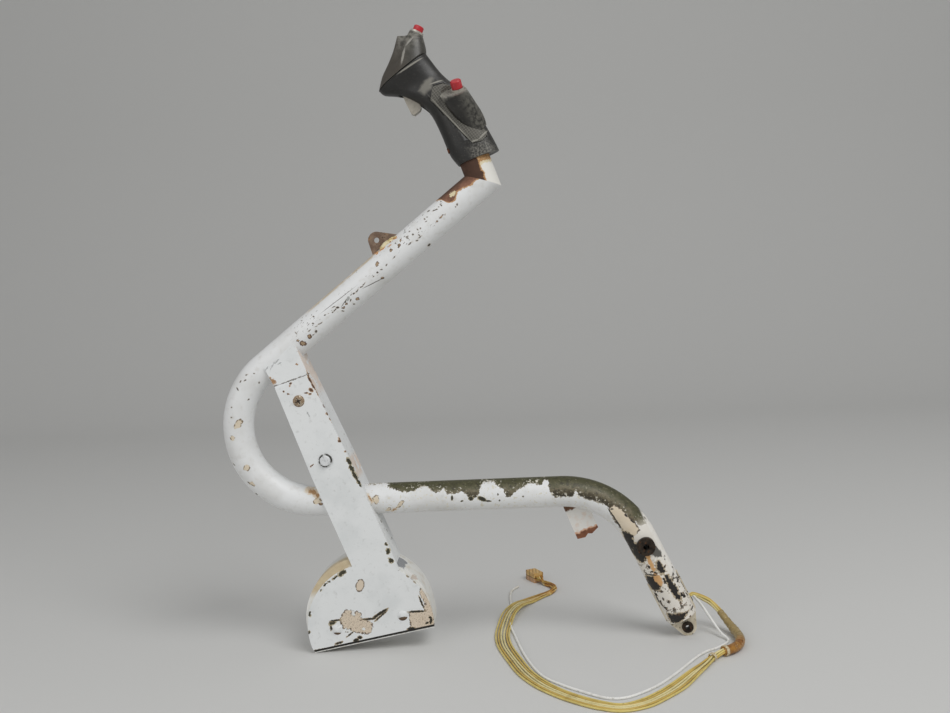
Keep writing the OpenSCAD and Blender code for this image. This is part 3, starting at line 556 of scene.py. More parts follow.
def tube_paint():
    """White paint over old olive paint, primer and rust."""
    s = Surface("tube_paint", "#e5e6e6", 0.42)
    s.mottle((38, 3), (0.45, 0.75), "#cccbc7", share=0.45)
    s.mottle((7, 4), (0.52, 0.75), "#b7b2a6", share=0.28)
    s.relief(s.noise(3.2, 3), 0.06)
    fine = s.flakes(1.1, 0.45, s.ragged(1.4, 0.5))
    coarse = s.flakes(2.2, 0.6, s.ragged(6.0, 2.0))
    near = 2.0
    run_up = s.along(UPPER_START, direction(UPPER_SLOPE))
    run_across = s.along(UPPER_START, direction(UPPER_SLOPE + 90))

    # Small dashes over the upper side of the upper run
    where = s.both(s.ramp(run_up, 35, 70), s.ramp(run_up, 268, 240), s.ramp(run_across, -9, 2))
    dash_place = s.turned(UPPER_SLOPE + 12, (2.2, 1.0, 0.8))
    dashes = s.ramp(s.noise(1.7, 2, 0.5, dash_place), 0.635, 0.665)
    s.coat(s.both(dashes, where, s.ramp(s.noise(24, 2), 0.40, 0.50), 0.9), "#5f564a", 0.7)

    # Thin yellow stain along the upper side
    stain = s.both(s.ramp(run_across, 11, 15), s.ramp(run_up, 60, 90), s.ramp(run_up, 190, 160))
    stain = s.both(stain, s.ramp(s.axis("Y"), -10, -8), s.ramp(s.shaken(s.axis("Y"), 8, 2), -1, -4))
    s.coat(s.both(stain, s.ramp(s.noise(9, 4), 0.30, 0.52), 0.7), "#b9a070")

    # Chips and scratches, many with a rim of another tone
    grey = s.chips(on_tube, UPPER_GREY, fine)
    s.coat(s.both(s.ramp(grey, 1.3, 0.8), 0.75), "#90928f")
    beige = s.chips(on_tube, HOOK_BEIGE, coarse)
    s.coat(s.ramp(beige, 1.18, 1.05), "#77664e", 0.65)
    s.coat(s.ramp(beige, 1.0, 0.88), s.grained(3, 3, "#c8b59a", "#d9ccb6", "#bfa98a"), 0.6)
    rust_spot = s.chips(on_tube, HOOK_RUST, coarse)
    s.coat(s.both(s.ramp(rust_spot, 1.6, 1.0), 0.8), "#d8c3a4", 0.7)
    s.coat(s.ramp(rust_spot, 0.9, 0.6), s.grained(2.5, 4, "#7a5a40", "#b08a62", "#cdab80"), 0.8)
    dark = s.chips(on_tube, UPPER_DARK + HOOK_DARK, fine, 0.85)
    s.coat(s.both(s.ramp(dark, 1.9, 1.3), 0.4), "#b9ab92", 0.6)
    s.coat(s.ramp(dark, 1.2, 0.85), s.grained(2.0, 3, "#26221f", "#443b33", "#665849"), 0.75)
    brown = s.chips(on_tube, UPPER_BROWN, s.flakes(1.4, 0.6, s.ragged(2.0, 1.0)), 0.85)
    s.coat(s.ramp(brown, 1.3, 1.1), s.grained(2.2, 3, "#4c3a2c", "#6b4d34"), 0.75)
    s.coat(s.ramp(brown, 0.85, 0.6), s.grained(1.3, 3, "#6b4a30", "#ab9376", "#d6c8ab"), 0.7)
    line = s.chips(on_tube, UPPER_LINES, s.ragged(5.0, 0.35))
    s.coat(s.both(s.ramp(line, 1.3, 0.7), 0.85), "#4a433b", 0.6)

    # Old olive coat on top of the level run and the knee, with a painted sheen across it
    x = s.axis("X", coarse)
    beyond = s.math("MAXIMUM", s.math("SUBTRACT", x, KNEE_CENTRE[0]), 0.0)
    rise = s.math("SUBTRACT", s.axis("Z", coarse), KNEE_CENTRE[1])
    square = s.math("ADD", s.math("MULTIPLY", beyond, beyond), s.math("MULTIPLY", rise, rise))
    outer = s.math("SUBTRACT", s.math("SQRT", square), KNEE_RADIUS)
    places = [on_tube(*pixel) for pixel in OLIVE_EDGE]
    edge = OLIVE_BEFORE + [(px, tube_offset(px, pz)) for px, _, pz in places] + OLIVE_AFTER
    over = s.math("SUBTRACT", outer, s.profile(x, edge))
    over = s.shaken(over, 2.4, 0.9)
    leg_down = s.along((0, 0), direction(LEG_LEAN - 90))
    leg_rear = s.along((0, 0), direction(LEG_LEAN))
    on_run = s.both(
        s.ramp(s.axis("X"), -292, -288), s.ramp(s.axis("Z"), 110, 100),
        s.ramp(s.shaken(leg_down, 5, 4), -18.4, -19.6)
    )
    s.coat(s.both(s.ramp(over, -0.8, -0.4), on_run, 0.8), "#8d8268", 0.6)
    # Painted highlight and shade: the olive goes from dark at the tube's lower side to a light band part
    # way up, standing in for the sheen on the old gloss
    sheen_height = s.shaken(outer, 6, 4, 5)
    olive = s.tones(s.ramp(sheen_height, -5, 17), "#2b261b", "#4a422f", "#6d654e", "#57543a", "#454429")
    olive = s.blend(olive, tone("#2c281c"), s.both(s.ramp(s.noise(3.5, 5, 0.66), 0.52, 0.62), 0.65))
    olive = s.blend(olive, tone("#a8a28a"), s.both(s.ramp(s.noise(2.4, 5, 0.66), 0.58, 0.68), 0.5))
    s.coat(s.both(s.ramp(over, -0.2, 0.3), on_run), olive, 0.5)
    specks = s.both(s.ramp(s.noise(3.0, 4, 0.6), 0.60, 0.63), s.ramp(over, 7, 2), on_run)
    s.coat(specks, "#d8d4c6", 0.5)
    black = s.chips(on_tube, RUN_DARK, fine)
    s.coat(s.ramp(black, 1.25, 1.1), "#8f8668", 0.6)
    s.coat(s.ramp(black, 1.05, 0.85), s.grained(2.2, 3, "#24231c", "#3d3b2c"), 0.6)

    # Rust at the top of the upper run, with cream and orange patches there and by the ear
    places = [on_tube(*pixel) for pixel in RUST_EDGE]
    edge = RUST_BEFORE + [in_upper(px, pz) for px, _, pz in places] + RUST_AFTER
    rust_over = s.math("SUBTRACT", run_across, s.profile(run_up, edge))
    rust_over = s.shaken(rust_over, 4, 1.3, 5)
    at_top = s.ramp(run_up, 246, 250)
    s.coat(s.both(s.ramp(rust_over, -1.8, -0.9), at_top), "#b98f66", 0.7)
    rust = s.tones(s.noise(6, 5, 0.7), "#35251d", "#6b4a39", "#8c6450", "#a5785c")
    rust = s.blend(rust, tone("#3a2a20"), s.both(s.ramp(run_across, 9, 15), 0.7))
    s.coat(s.both(s.ramp(rust_over, -0.3, 0.5), at_top), rust, 0.85)
    cream = s.chips(on_tube, WELD_CREAM, coarse)
    s.coat(s.ramp(cream, 1.1, 0.8), "#ddd0ac", 0.6)
    orange = s.chips(on_tube, WELD_ORANGE, coarse)
    s.coat(s.ramp(orange, 1.15, 0.8), s.grained(3, 4, "#a86c34", "#c98f52", "#8a5a34"), 0.8)

    # Lower leg: cream paint, bare metal by the bush, rust streaks and speckle
    s.coat(s.both(s.ramp(leg_down, -30, -16), 0.7), "#e6dfd2", 0.5)
    panel = s.patches(on_tube, LEG_CREAM, coarse, near)
    s.coat(s.ramp(panel, 0.7, 0.2), "#5a4d3c", 0.6)
    s.coat(s.ramp(panel, -0.2, -0.8), s.grained(9, 3, "#e2d6c2", "#d8c8ae"), 0.5)
    low = s.both(s.ramp(leg_down, 14, 24), s.ramp(leg_down, 82, 70))
    dapple = s.noise(6.5, 5, 0.62, coarse)
    dapples = s.both(low, s.ramp(dapple, 0.55, 0.57))
    s.coat(s.both(low, s.ramp(dapple, 0.53, 0.545)), "#8f7e66", 0.6)
    ink = s.grained(5, 4, "#12100e", "#1f1b18", "#38332c")
    s.coat(dapples, ink, 0.55)
    bare = s.shaken(s.patches(on_tube, LEG_BLACK, coarse, near), 3.0, 1.0)
    s.coat(s.ramp(bare, 1.3, 0.8), "#b8a98f", 0.6)
    s.coat(s.ramp(bare, 0.3, -0.3), ink, 0.5)
    grey = s.patches(on_tube, LEG_GREY, coarse, near)
    s.coat(s.ramp(grey, 0.3, -0.5), s.grained(5, 3, "#55534e", "#6a6862"), 0.4)
    orange = s.chips(on_tube, LEG_ORANGE, coarse)
    s.coat(s.ramp(orange, 1.15, 0.8), s.grained(4, 4, "#b07c4a", "#d3a570", "#e0c39a"), 0.75)
    line = s.chips(on_tube, LEG_LINES, fine)
    s.coat(s.ramp(line, 1.2, 0.8), "#2a2521", 0.6)
    highlight = s.both(s.ramp(leg_rear, 10.5, 12.5), s.ramp(leg_down, -40, -26), s.ramp(leg_down, 50, 34))
    s.coat(s.both(highlight, s.ramp(s.noise(4, 3), 0.62, 0.54)), "#ece9e2", 0.45)
    speckle = s.both(s.ramp(leg_down, 66, 72), s.ramp(s.noise(2.2, 4), 0.60, 0.64))
    s.coat(speckle, s.grained(2, 3, "#3b2c22", "#7a5c42"), 0.7)
    return s.done()


# Wear marks on the arm and the weight, in the same form, with painted shadow lines at the arm's seam and
# the weight's base among them
SHEET_BROWN = [
    (303.5, 357, 4.2, 1.2, 80), (307.5, 373.5, 3.6, 0.9, -65), (310, 380, 4.5, 1.0, -62),
    (313.5, 386.5, 3.4, 1.0, -55), (311, 390, 2.3, 1.6, -40), (310, 394, 1.4, 1.0, 0),
    (306, 393, 1.9, 0.8, 0), (290.5, 383.5, 1.2, 1.0, 0), (283.5, 391.5, 0.9, 0.8, 0),
    (288, 394, 1.2, 0.6, -20), (318.5, 394, 4.6, 1.1, -62), (322, 400.5, 3.4, 1.0, -62),
    (327.5, 413.5, 1.5, 1.5, 0), (330.5, 419, 1.7, 1.1, -60), (332.5, 422.5, 1.0, 0.8, -60),
    (338, 432, 1.0, 0.6, 20), (341, 438.5, 2.5, 1.7, 0), (339.5, 441, 1.7, 1.2, 0),
    (346.5, 451, 2.1, 0.8, 20), (317, 389.5, 2.2, 0.9, 0), (312, 465.5, 2.3, 0.55, 40),
    (269.5, 379, 2.3, 1.6, 80)
]
SHEET_RUST = [
    (272, 382, 3.4, 3.0, -30), (289.5, 386, 1.2, 1.0, 0), (296.5, 364.5, 1.6, 1.3, 0),
    (307, 366, 4.0, 1.2, -70)
]
SHEET_OLIVE = [
    (349, 461.5, 4.2, 1.9, -60), (351.5, 468, 5.0, 2.1, -60), (355, 475.5, 5.6, 1.8, -60),
    (359, 483, 4.2, 1.3, -60), (342, 573, 5.0, 2.3, 35), (335, 577.5, 3.1, 1.3, 35),
    (329, 582, 1.7, 1.3, 35), (325, 585, 2.6, 0.9, 40), (321, 590, 2.1, 0.8, 55),
    (388, 551, 2.9, 2.1, 90), (386, 544, 2.1, 1.1, 85), (391, 560.5, 2.7, 2.3, -20),
    (332.5, 623, 4.0, 2.0, 20), (310, 614, 2.7, 1.3, 85), (309, 632, 2.1, 1.1, 85)
]
SHEET_GREY = [
    (276.5, 361.5, 3.4, 0.6, 45), (272, 366, 4.5, 0.5, 60), (289.5, 345, 1.7, 0.7, 30),
    (308, 414, 3.0, 0.6, -65), (279, 363.5, 2.4, 0.5, 30), (266, 369, 3.5, 0.6, 55)
]
SHEET_SEAM_SHADOW = [(291.5, 380.3, 16.0, 0.6, 19.5), (274, 386.5, 3.5, 0.7, 25), (308.5, 374, 3.0, 0.6, 10)]
WEIGHT_CHIPS_AND_SHADOW_LINE = [
    (369, 619, 7.0, 1.0, 4), (380, 613.5, 9.0, 1.4, 34), (381, 616, 8.0, 0.9, 42),
    (416.5, 611.5, 8.3, 1.0, 4), (421.5, 602.5, 6.5, 0.8, -68), (409, 575, 2.5, 2.3, 0),
    (416.5, 581, 2.5, 2.1, 0), (422, 583, 1.3, 1.1, 0), (411, 628.5, 4.0, 1.4, 10),
    (335, 647.5, 2.0, 1.4, 90), (344, 647, 2.6, 1.3, 90), (339, 643, 4.0, 1.2, 20),
    (356, 640, 2.7, 1.6, 20), (360, 637.5, 2.3, 1.6, 0), (369, 641, 4.0, 1.3, 5),
    (329, 647.8, 14.3, 0.7, 11), (381, 637.8, 39, 0.7, 11.5), (431, 621, 3.0, 1.4, 80),
    (427, 623, 2.0, 1.0, 30), (430, 617.5, 1.6, 0.9, 0), (335.5, 620.5, 5.5, 1.0, 8),
    (331, 628, 1.0, 2.6, 0), (350, 634.5, 4.5, 0.8, 40)
]
WEIGHT_PINK = [(414, 578, 3.4, 2.3, -20), (375, 618, 3.0, 1.1, 10), (360, 585.5, 6.0, 3.7, 75)]
# Outlines of bare primer on the cheek, in pixels
WEIGHT_PRIMER = [
    [(340, 620), (343, 614), (346.5, 610.5), (351, 610.5), (354, 616), (352, 624), (344, 628)],
    [(353, 617), (357, 611.5), (360.5, 614), (361.5, 620), (360, 628), (350, 628)],
    [(344, 626), (361, 619.5), (371, 622), (372.5, 627), (370, 633), (364, 635.5), (356, 632), (346, 631)],
    [(422.5, 587), (426, 590), (429.5, 596), (432, 604), (424.5, 605), (422, 598), (419, 594)],
    [(424, 604), (432, 604), (434.5, 614), (426, 612)],
    [(409, 613), (424, 611.5), (434.5, 613), (434, 627), (420, 629.5), (411, 628)]
]
# Marks on the fasteners, painted shadow along the rivets' lower side, and white flakes left on the primer
SCREW_SLOTS = [(298.7, 401, 4.2, 0.7, 30), (298.7, 401, 4.2, 0.7, -60)]
RIVET_SHADES = [(337.5, 634, 4.6, 2.0, 0), (331.5, 628.5, 1.2, 3.0, 0), (403.5, 618.5, 4.6, 2.2, 5)]
WEIGHT_WHITE = [(353.5, 613.5, 2.6, 2.0, 80), (348, 630.5, 3.0, 1.6, 25), (364, 629, 1.6, 1.0, 0)]
# Pixel on the painted shadow line above the weight's lip
LIP_PIXEL = (367, 640.3)
# Outline of bare steel on the weight's round side, in pixels
WEIGHT_BARE = [[(393, 555), (399, 556.5), (406.5, 562), (404, 569), (397, 566), (393, 560)]]


def sheet_paint():
    """White paint on the arm with its cheeks and on the bracket, chipped along the edges."""
    s = Surface("sheet_paint", "#e5e7e7", 0.45)
    s.mottle((30, 3), (0.45, 0.75), "#ccd0d0", share=0.4)
    s.mottle((5, 5, 0.6), (0.55, 0.75), "#afafab", share=0.35)
    s.relief(s.noise(4, 3), 0.08)
    fine = s.flakes(1.2, 0.5, s.ragged(1.6, 0.6))
    coarse = s.flakes(2.0, 0.6, s.ragged(4.0, 1.6))
    front = -17.5
    across = s.along(ARM_TOP, direction(ARM_LEAN))
    down = s.along(ARM_TOP, direction(ARM_LEAN - 90))

    # Thin worn line along the right edge of the front plate
    edge = s.profile(down, [(-30, 18.6), (0, 18.6), (100, 22), (240, 22)])
    inset = s.shaken(s.math("SUBTRACT", edge, across), 7, 1.9, 5)
    chipped = s.both(s.ramp(down, -8, 0), s.ramp(down, 212, 200), s.ramp(across, 8, 12))
    shade = s.blend(tone("#6a4a36"), s.grained(5, 3, "#4b4838", "#6b664f"), s.ramp(down, 60, 90))
    s.coat(s.both(s.ramp(inset, -0.9, -1.4), chipped, 0.9), shade, 0.75)

    # Pink primer on the right side wall
    on_side = s.both(s.ramp(across, 18.0, 18.5), s.ramp(s.axis("Y"), -19.0, -17.0))
    at_ends = s.either(s.ramp(down, 28, 12), s.both(s.ramp(down, 92, 98), s.ramp(down, 122, 114)))
    peach = s.both(on_side, at_ends, s.ramp(s.noise(8, 4, 0.6), 0.42, 0.48))
    s.coat(s.both(peach, 0.75), s.grained(6, 3, "#d8c0ae", "#e4d6c8"), 0.6)

    # Scratches, rust and chips on the faces, and a painted shadow line along the seam near the arm's top
    grey = s.chips(on_face, SHEET_GREY, fine)
    s.coat(s.both(s.ramp(grey, 1.3, 0.8), 0.7), "#9a9c9c")
    rusty = s.chips(on_face, SHEET_RUST, coarse)
    s.coat(s.ramp(rusty, 1.2, 0.8), s.grained(2.5, 4, "#6d4a34", "#a88462", "#d3bfa2"), 0.8)
    olive = s.chips(on_face, SHEET_OLIVE, coarse, depth=FACE_MARK_DEPTH)
    s.coat(s.ramp(olive, 1.25, 1.1), "#b9ae94", 0.6)
    s.coat(s.ramp(olive, 1.0, 0.85), s.grained(3, 4, "#1d1b14", "#3a3726", "#5f5a42"), 0.65)
    brown = s.chips(on_face, SHEET_BROWN, fine, depth=FACE_MARK_DEPTH)
    s.coat(s.ramp(brown, 1.35, 1.15), "#c4a98c", 0.65)
    s.coat(s.ramp(brown, 1.05, 0.85), s.grained(2.2, 3, "#35271e", "#5d4230", "#7d5a3e"), 0.75)
    # Painted shadow along the seam where the front plate steps over the bracket
    seam = s.chips(on_face, SHEET_SEAM_SHADOW, fine)
    s.coat(s.both(s.ramp(seam, 1.3, 0.8), 0.85), "#5a5248", 0.7)

    # Primer, cracks and chips on the weight's cheek, and a painted shadow line along its base
    primer = s.shaken(s.patches(on_face, WEIGHT_PRIMER, coarse, front), 2.0, 1.0)
    pink = s.chips(on_face, WEIGHT_PINK, fine)
    s.coat(s.either(s.ramp(primer, 0.9, 0.5), s.ramp(pink, 1.18, 1.06)), "#5f4d3a", 0.7)
    ground = s.grained(5, 4, "#c9b8a2", "#d9cab6", "#c2ad94")
    s.coat(s.either(s.ramp(primer, 0.1, -0.3), s.ramp(pink, 1.0, 0.9)), ground, 0.65)
    pits = s.both(s.ramp(primer, -0.4, -1.0), s.ramp(s.noise(1.3, 4, 0.65), 0.55, 0.60))
    s.coat(s.both(pits, 0.75), "#8a7358", 0.7)
    white = s.chips(on_face, WEIGHT_WHITE, coarse)
    s.coat(s.ramp(white, 1.25, 1.1), "#6b5a44", 0.6)
    s.coat(s.ramp(white, 1.0, 0.85), "#e2e3e1", 0.5)
    # Dark chips, and the painted shadow line along the weight's base
    dark = s.chips(on_face, WEIGHT_CHIPS_AND_SHADOW_LINE, fine)
    s.coat(s.ramp(dark, 1.3, 1.1), "#a8977a", 0.6)
    s.coat(s.ramp(dark, 1.05, 0.85), s.grained(3, 3, "#151310", "#27241c", "#45412f"), 0.75)
    return s.done()


def weight_paint():
    """Paint on the weight's round side, tan by the arm's neck as painted shade, with a painted shadow line
    above the lip.
    """
    s = Surface("weight_paint", "#e3e3df", 0.5)
    coarse = s.flakes(2.0, 0.6, s.ragged(4.0, 1.6))
    s.mottle((9, 4), (0.48, 0.70), "#cfc6b4", share=0.5)
    # Painted shade: the upper left of the round side is tan, as where it lies in shade
    high = s.shaken(s.along(WEIGHT_CENTRE, direction(135)), 6, 2.5, 5)
    tan = s.both(s.ramp(high, 47, 54), s.ramp(s.axis("Y"), 6.0, -12.0), s.ramp(s.axis("Z"), -45, -32))
    s.coat(tan, s.grained(5, 4, "#bca888", "#d6c8a8"), 0.6, 0.1)
    bare = s.shaken(s.patches(on_face, WEIGHT_BARE, coarse, 4.0), 3.0, 1.0)
    s.coat(s.ramp(bare, 0.6, 0.0), s.grained(4, 3, "#7c7e82", "#9a9c9e"), 0.4)
    pink = s.chips(on_face, WEIGHT_PINK, coarse)
    s.coat(s.both(s.ramp(pink, 1.1, 0.9), s.ramp(s.noise(1.5, 4), 0.36, 0.5)), "#c9bdb0", 0.6)
    # Painted shadow: a ragged dark line above the lip, under the front plate's lower edge
    foot_x, _, foot_z = on_face(*LIP_PIXEL)
    below = s.shaken(s.along((foot_x, foot_z), direction(WEIGHT_TILT + 90)), 2.0, 0.25)
    line = s.both(s.ramp(below, -1.5, -1.0), s.ramp(below, 1.6, 1.0), s.ramp(s.axis("Y"), -14.0, -16.0))
    notched = s.ramp(s.noise(7, 4, 0.6), 0.60, 0.63)
    notch = s.both(s.ramp(below, -3.6, -3.0), s.ramp(below, 0.0, -0.6), notched)
    s.coat(s.either(line, notch), "#26231e", 0.7, 0.1)
    s.relief(s.noise(3, 3), 0.08)
    return s.done()


def lug_paint():
    """Cream paint on the lower lug, worn to dark metal in spots."""
    s = Surface("lug_paint", "#ddd3bd", 0.5)
    s.mottle((9, 4), (0.45, 0.65), "#c6b99f", share=0.6)
    s.mottle((4.5, 5, 0.62), (0.61, 0.65), s.grained(3, 3, "#2b2723", "#5a4a3a"), 0.7, depth=0.12)
    s.relief(s.noise(2.5, 3), 0.06)
    return s.done()


def torn_tab_paint():
    """White strip with rust by the tube and a brown torn edge."""
    s = Surface("torn_tab_paint", "#dcdad5", 0.45)
    down = s.shaken(s.along(TORN_TAB_TOP, direction(TORN_TAB_LEAN - 90)), 5, 1.7)
    s.mottle((8, 4), (0.5, 0.7), "#d3b9a4", share=0.5)
    s.coat(s.ramp(down, 19.5, 17.5), s.grained(4, 4, "#4c3526", "#7b553a"), 0.8, 0.1)
    s.coat(s.ramp(down, 42.6, 43.8), "#d0a68a", 0.65, 0.1)
    s.coat(s.ramp(down, 44.2, 45.4), s.grained(4, 4, "#5a3424", "#8f5c3e"), 0.8, 0.15)
    return s.done()


def rusty_tab_paint():
    """Bare ear, grey-brown with light rust."""
    s = Surface("rusty_tab_paint", "#6b5647", 0.6, 0.35)
    s.mottle((8, 5, 0.65), (0.38, 0.62), "#8a7563", 0.55)
    s.mottle((4, 5, 0.65), (0.56, 0.66), "#4a3629", 0.8)
    s.mottle((6, 4, 0.6), (0.60, 0.68), "#b98f60", 0.8)
    s.relief(s.noise(1.8, 4), 0.12)
    return s.done()


def weld_paint():
    """Cream and yellow paint on the weld at the ear's foot, with rust in spots."""
    s = Surface("weld_paint", "#e3d7b2", 0.5)
    s.mottle((5, 4, 0.6), (0.46, 0.58), "#d3bd82", 0.55)
    s.mottle((3.5, 5, 0.65), (0.56, 0.63), s.grained(2, 3, "#8a5c34", "#c08a4e"), 0.75, depth=0.15)
    s.relief(s.noise(1.5, 4), 0.25)
    return s.done()


def stub_paint():
    """Short top tube: dark rust in its left part, darkened further by painted shadow from the grip, white
    paint to the right, orange by the grip.
    """
    s = Surface("stub_paint", "#e2e0d9", 0.45)
    right = s.shaken(s.along(GRIP_FOOT, direction(STUB_LEAN)), 5, 2.0, 5)
    height = s.shaken(s.along(GRIP_FOOT, direction(90 + STUB_LEAN)), 5, 2.5, 5)
    s.coat(s.ramp(height, -9, -7.5), "#dccfae", 0.6)
    orange = s.tones(s.noise(3, 5, 0.65), "#6b452c", "#a87848", "#cfa878", "#d9c7a0")
    s.coat(s.either(s.ramp(height, -6.0, -5.0), s.ramp(right, 4.6, 3.6)), orange, 0.75)
    # Rust on the left part, in dark tones that include the painted shadow cast by the grip
    rust = s.tones(s.noise(5, 5, 0.7), "#261b15", "#4d3528", "#76513c")
    s.coat(s.ramp(right, 3.2, 1.8), rust, 0.85)
    s.relief(s.noise(1.6, 4), 0.15)
    return s.done()


def worn_metal(name, colour, dark, rust, rough, rust_from):
    """Metal with a darker tarnish and some rust."""
    s = Surface(name, colour, rough, 0.75)
    s.mottle((5, 4, 0.6), (0.42, 0.66), dark, rough + 0.12)
    s.mottle((3, 5, 0.65), (rust_from, rust_from + 0.06), rust, 0.85)
    s.relief(s.noise(1.2, 3), 0.05)
    return s.done()


def screw_paint():
    """Brown corroded screw head with traces of white paint and a dark cross slot."""
    s = Surface("screw_paint", "#a08a70", 0.6, 0.2)
    s.mottle((2.4, 5, 0.65), (0.42, 0.62), "#7d6750", 0.7)
    s.mottle((2.6, 4, 0.6), (0.52, 0.58), "#cdc2ae", 0.6)
    slots = s.chips(on_face, SCREW_SLOTS, s.ragged(1.5, 0.3))
    s.coat(s.ramp(slots, 1.2, 0.8), "#3a2f26", 0.7)
    s.relief(s.noise(0.9, 3), 0.1)
    return s.done()


def bolt_paint():
    """Plated bolt and nuts under a thin coat of white paint."""
    s = Surface("bolt_paint", "#dcdedf", 0.42, 0.1)
    s.mottle((3, 4, 0.6), (0.54, 0.64), "#b9bbbb", 0.35)
    s.mottle((1.8, 4, 0.6), (0.66, 0.70), "#4d4a44", 0.6)
    s.relief(s.noise(1.2, 3), 0.06)
    return s.done()


def washer_paint():
    """Dark washers with white paint left in patches."""
    s = Surface("washer_paint", "#3f3d38", 0.55, 0.3)
    s.mottle((4, 4, 0.6), (0.50, 0.56), "#d3d5d4", 0.45)
    s.relief(s.noise(1.2, 3), 0.06)
    return s.done()


def rivet_paint():
    """White rivet heads, with painted shadow darkening their lower side, brown there too."""
    s = Surface("rivet_paint", "#e2e4e4", 0.42)
    s.mottle((3, 4, 0.6), (0.52, 0.62), "#c3c4c2", 0.45, share=0.6)
    # Painted shadow along the lower side of each rivet head, with brown stain
    shade = s.chips(on_face, RIVET_SHADES, s.ragged(1.5, 0.5))
    s.coat(s.ramp(shade, 1.2, 0.9), s.grained(2, 3, "#3a332a", "#7a5f45"), 0.7)
    s.relief(s.noise(1.2, 3), 0.06)
    return s.done()


# Pale places on the grip, as outlines in pixels: on the neck a painted highlight over wear, on the foot
# wear
NECK_HIGHLIGHT_AND_WEAR = [[(424, 80.5), (430, 76.5), (440, 79), (438, 84), (432, 89), (430.5, 100), (418, 91)]]
FOOT_WORN = [[(469, 149), (484, 139), (498, 150), (493, 157), (475, 162)]]
# Pale lines along the grip's edges, painted highlights over wear, and the painted highlight along its
# crest's ridge, in the form of the wear marks
GRIP_EDGE_HIGHLIGHTS = [
    (451, 120, 29.6, 0.8, -47), (475, 141, 4.0, 0.8, 16), (483.5, 134.5, 7.0, 0.8, 48),
    (436.5, 82, 6.5, 0.7, 20), (410.5, 65.5, 14.5, 0.8, 34.5)
]
CREST_RIDGE_HIGHLIGHTS = [(403, 54.5, 9.5, 1.3, 80), (409, 40, 7.0, 1.2, 50)]
# Lines of the cover's cross-hatching: their two directions and their distance
HATCH_ANGLES = (35, 125)
HATCH_PITCH = 2.4


def grip_plastic(name, colour, pale, rough):
    """Moulded grip with a fine grain, worn smooth and pale in places."""
    s = Surface(name, colour, rough)
    s.mottle((22, 4), (0.42, 0.70), pale, rough - 0.05, share=0.5)
    s.mottle((3.0, 5, 0.65), (0.56, 0.70), "#5d5b54", rough + 0.1, share=0.35)
    s.mottle((1.1, 3), (0.66, 0.70), "#8a877d", 0.6, share=0.5)
    s.relief(s.cells(0.9), 0.05)
    s.relief(s.noise(6, 3), 0.15)
    return s


def grip_body_plastic():
    """Shaft and hood, with painted shade that darkens the front, worn pale at the foot, and pale at the
    neck and the edges from painted highlights over wear.
    """
    s = grip_plastic("grip_body_plastic", "#201f1d", "#373531", 0.42)
    coarse = s.ragged(5.0, 2.0)
    near = -4.0
    grain = s.noise(1.6, 4)
    rear = s.along(GRIP_FOOT, direction(STUB_LEAN))
    # Painted shade: the front of the shaft and hood is darkened, where it lies in shadow
    s.coat(s.both(s.ramp(rear, -8, -20), 0.6), "#171614", 0.4)
    # Painted highlight on the neck's shoulder, which faces the light, with wear there too
    neck = s.patches(on_grip, NECK_HIGHLIGHT_AND_WEAR, coarse, near)
    s.coat(s.both(s.ramp(neck, 1.5, -2.5), s.ramp(grain, 0.10, 0.40), 0.85), "#7d7a72", 0.5)
    foot = s.patches(on_grip, FOOT_WORN, coarse, near)
    s.coat(s.both(s.ramp(foot, 5.0, -5.0), s.ramp(s.noise(1.6, 5, 0.65), 0.36, 0.66), 0.8), "#85827a", 0.55)
    # Painted highlights along the grip's edges, over wear
    edges = s.chips(on_grip, GRIP_EDGE_HIGHLIGHTS, s.ragged(2.0, 0.4))
    s.coat(s.both(s.ramp(edges, 1.3, 0.7), 0.8), "#9a978d", 0.5)
    return s.done()


def grip_head_plastic():
    """Crest, pale at the crown from a painted highlight with some wear, brownish along the wing, with a
    painted highlight along its ridge.
    """
    s = grip_plastic("grip_head_plastic", "#35332e", "#57544c", 0.4)
    height = s.along(GRIP_FOOT, direction(90 + STUB_LEAN))
    # Painted highlight: the crown is paler towards the top, where light falls on it, with wear there too
    s.coat(s.both(s.ramp(height, 118, 142), s.ramp(s.noise(5, 4), 0.36, 0.60)), "#7f7c74", 0.42)
    rear = s.along(GRIP_FOOT, direction(STUB_LEAN))
    s.coat(s.both(s.ramp(rear, -22, -34), 0.6), "#453e35", 0.5)
    # Painted highlight along the crest's ridge
    edges = s.chips(on_grip, CREST_RIDGE_HIGHLIGHTS, s.ragged(2.5, 0.7))
    s.coat(s.both(s.ramp(edges, 1.3, 0.5), 0.75), "#a5a29a", 0.45)
    return s.done()


def cover_plastic():
    """Side cover with its cross-hatched face."""
    s = grip_plastic("cover_plastic", "#4f4d47", "#65625b", 0.52)
    lines = [s.along(GRIP_FOOT, direction(angle)) for angle in HATCH_ANGLES]
    waves = [s.math("SINE", s.math("MULTIPLY", line, 2 * pi / HATCH_PITCH)) for line in lines]
    hatch = s.math("MAXIMUM", *waves)
    s.relief(s.ramp(hatch, 0.3, 0.95), 0.35)
    s.coat(s.both(s.ramp(hatch, 0.75, 1.0), 0.6), "#8b887e", 0.5)
    # Painted highlights along the cover's edges, over wear
    edges = s.chips(on_grip, GRIP_EDGE_HIGHLIGHTS, s.ragged(2.0, 0.4))
    s.coat(s.both(s.ramp(edges, 1.3, 0.7), 0.85), "#a19e94", 0.5)
    return s.done()


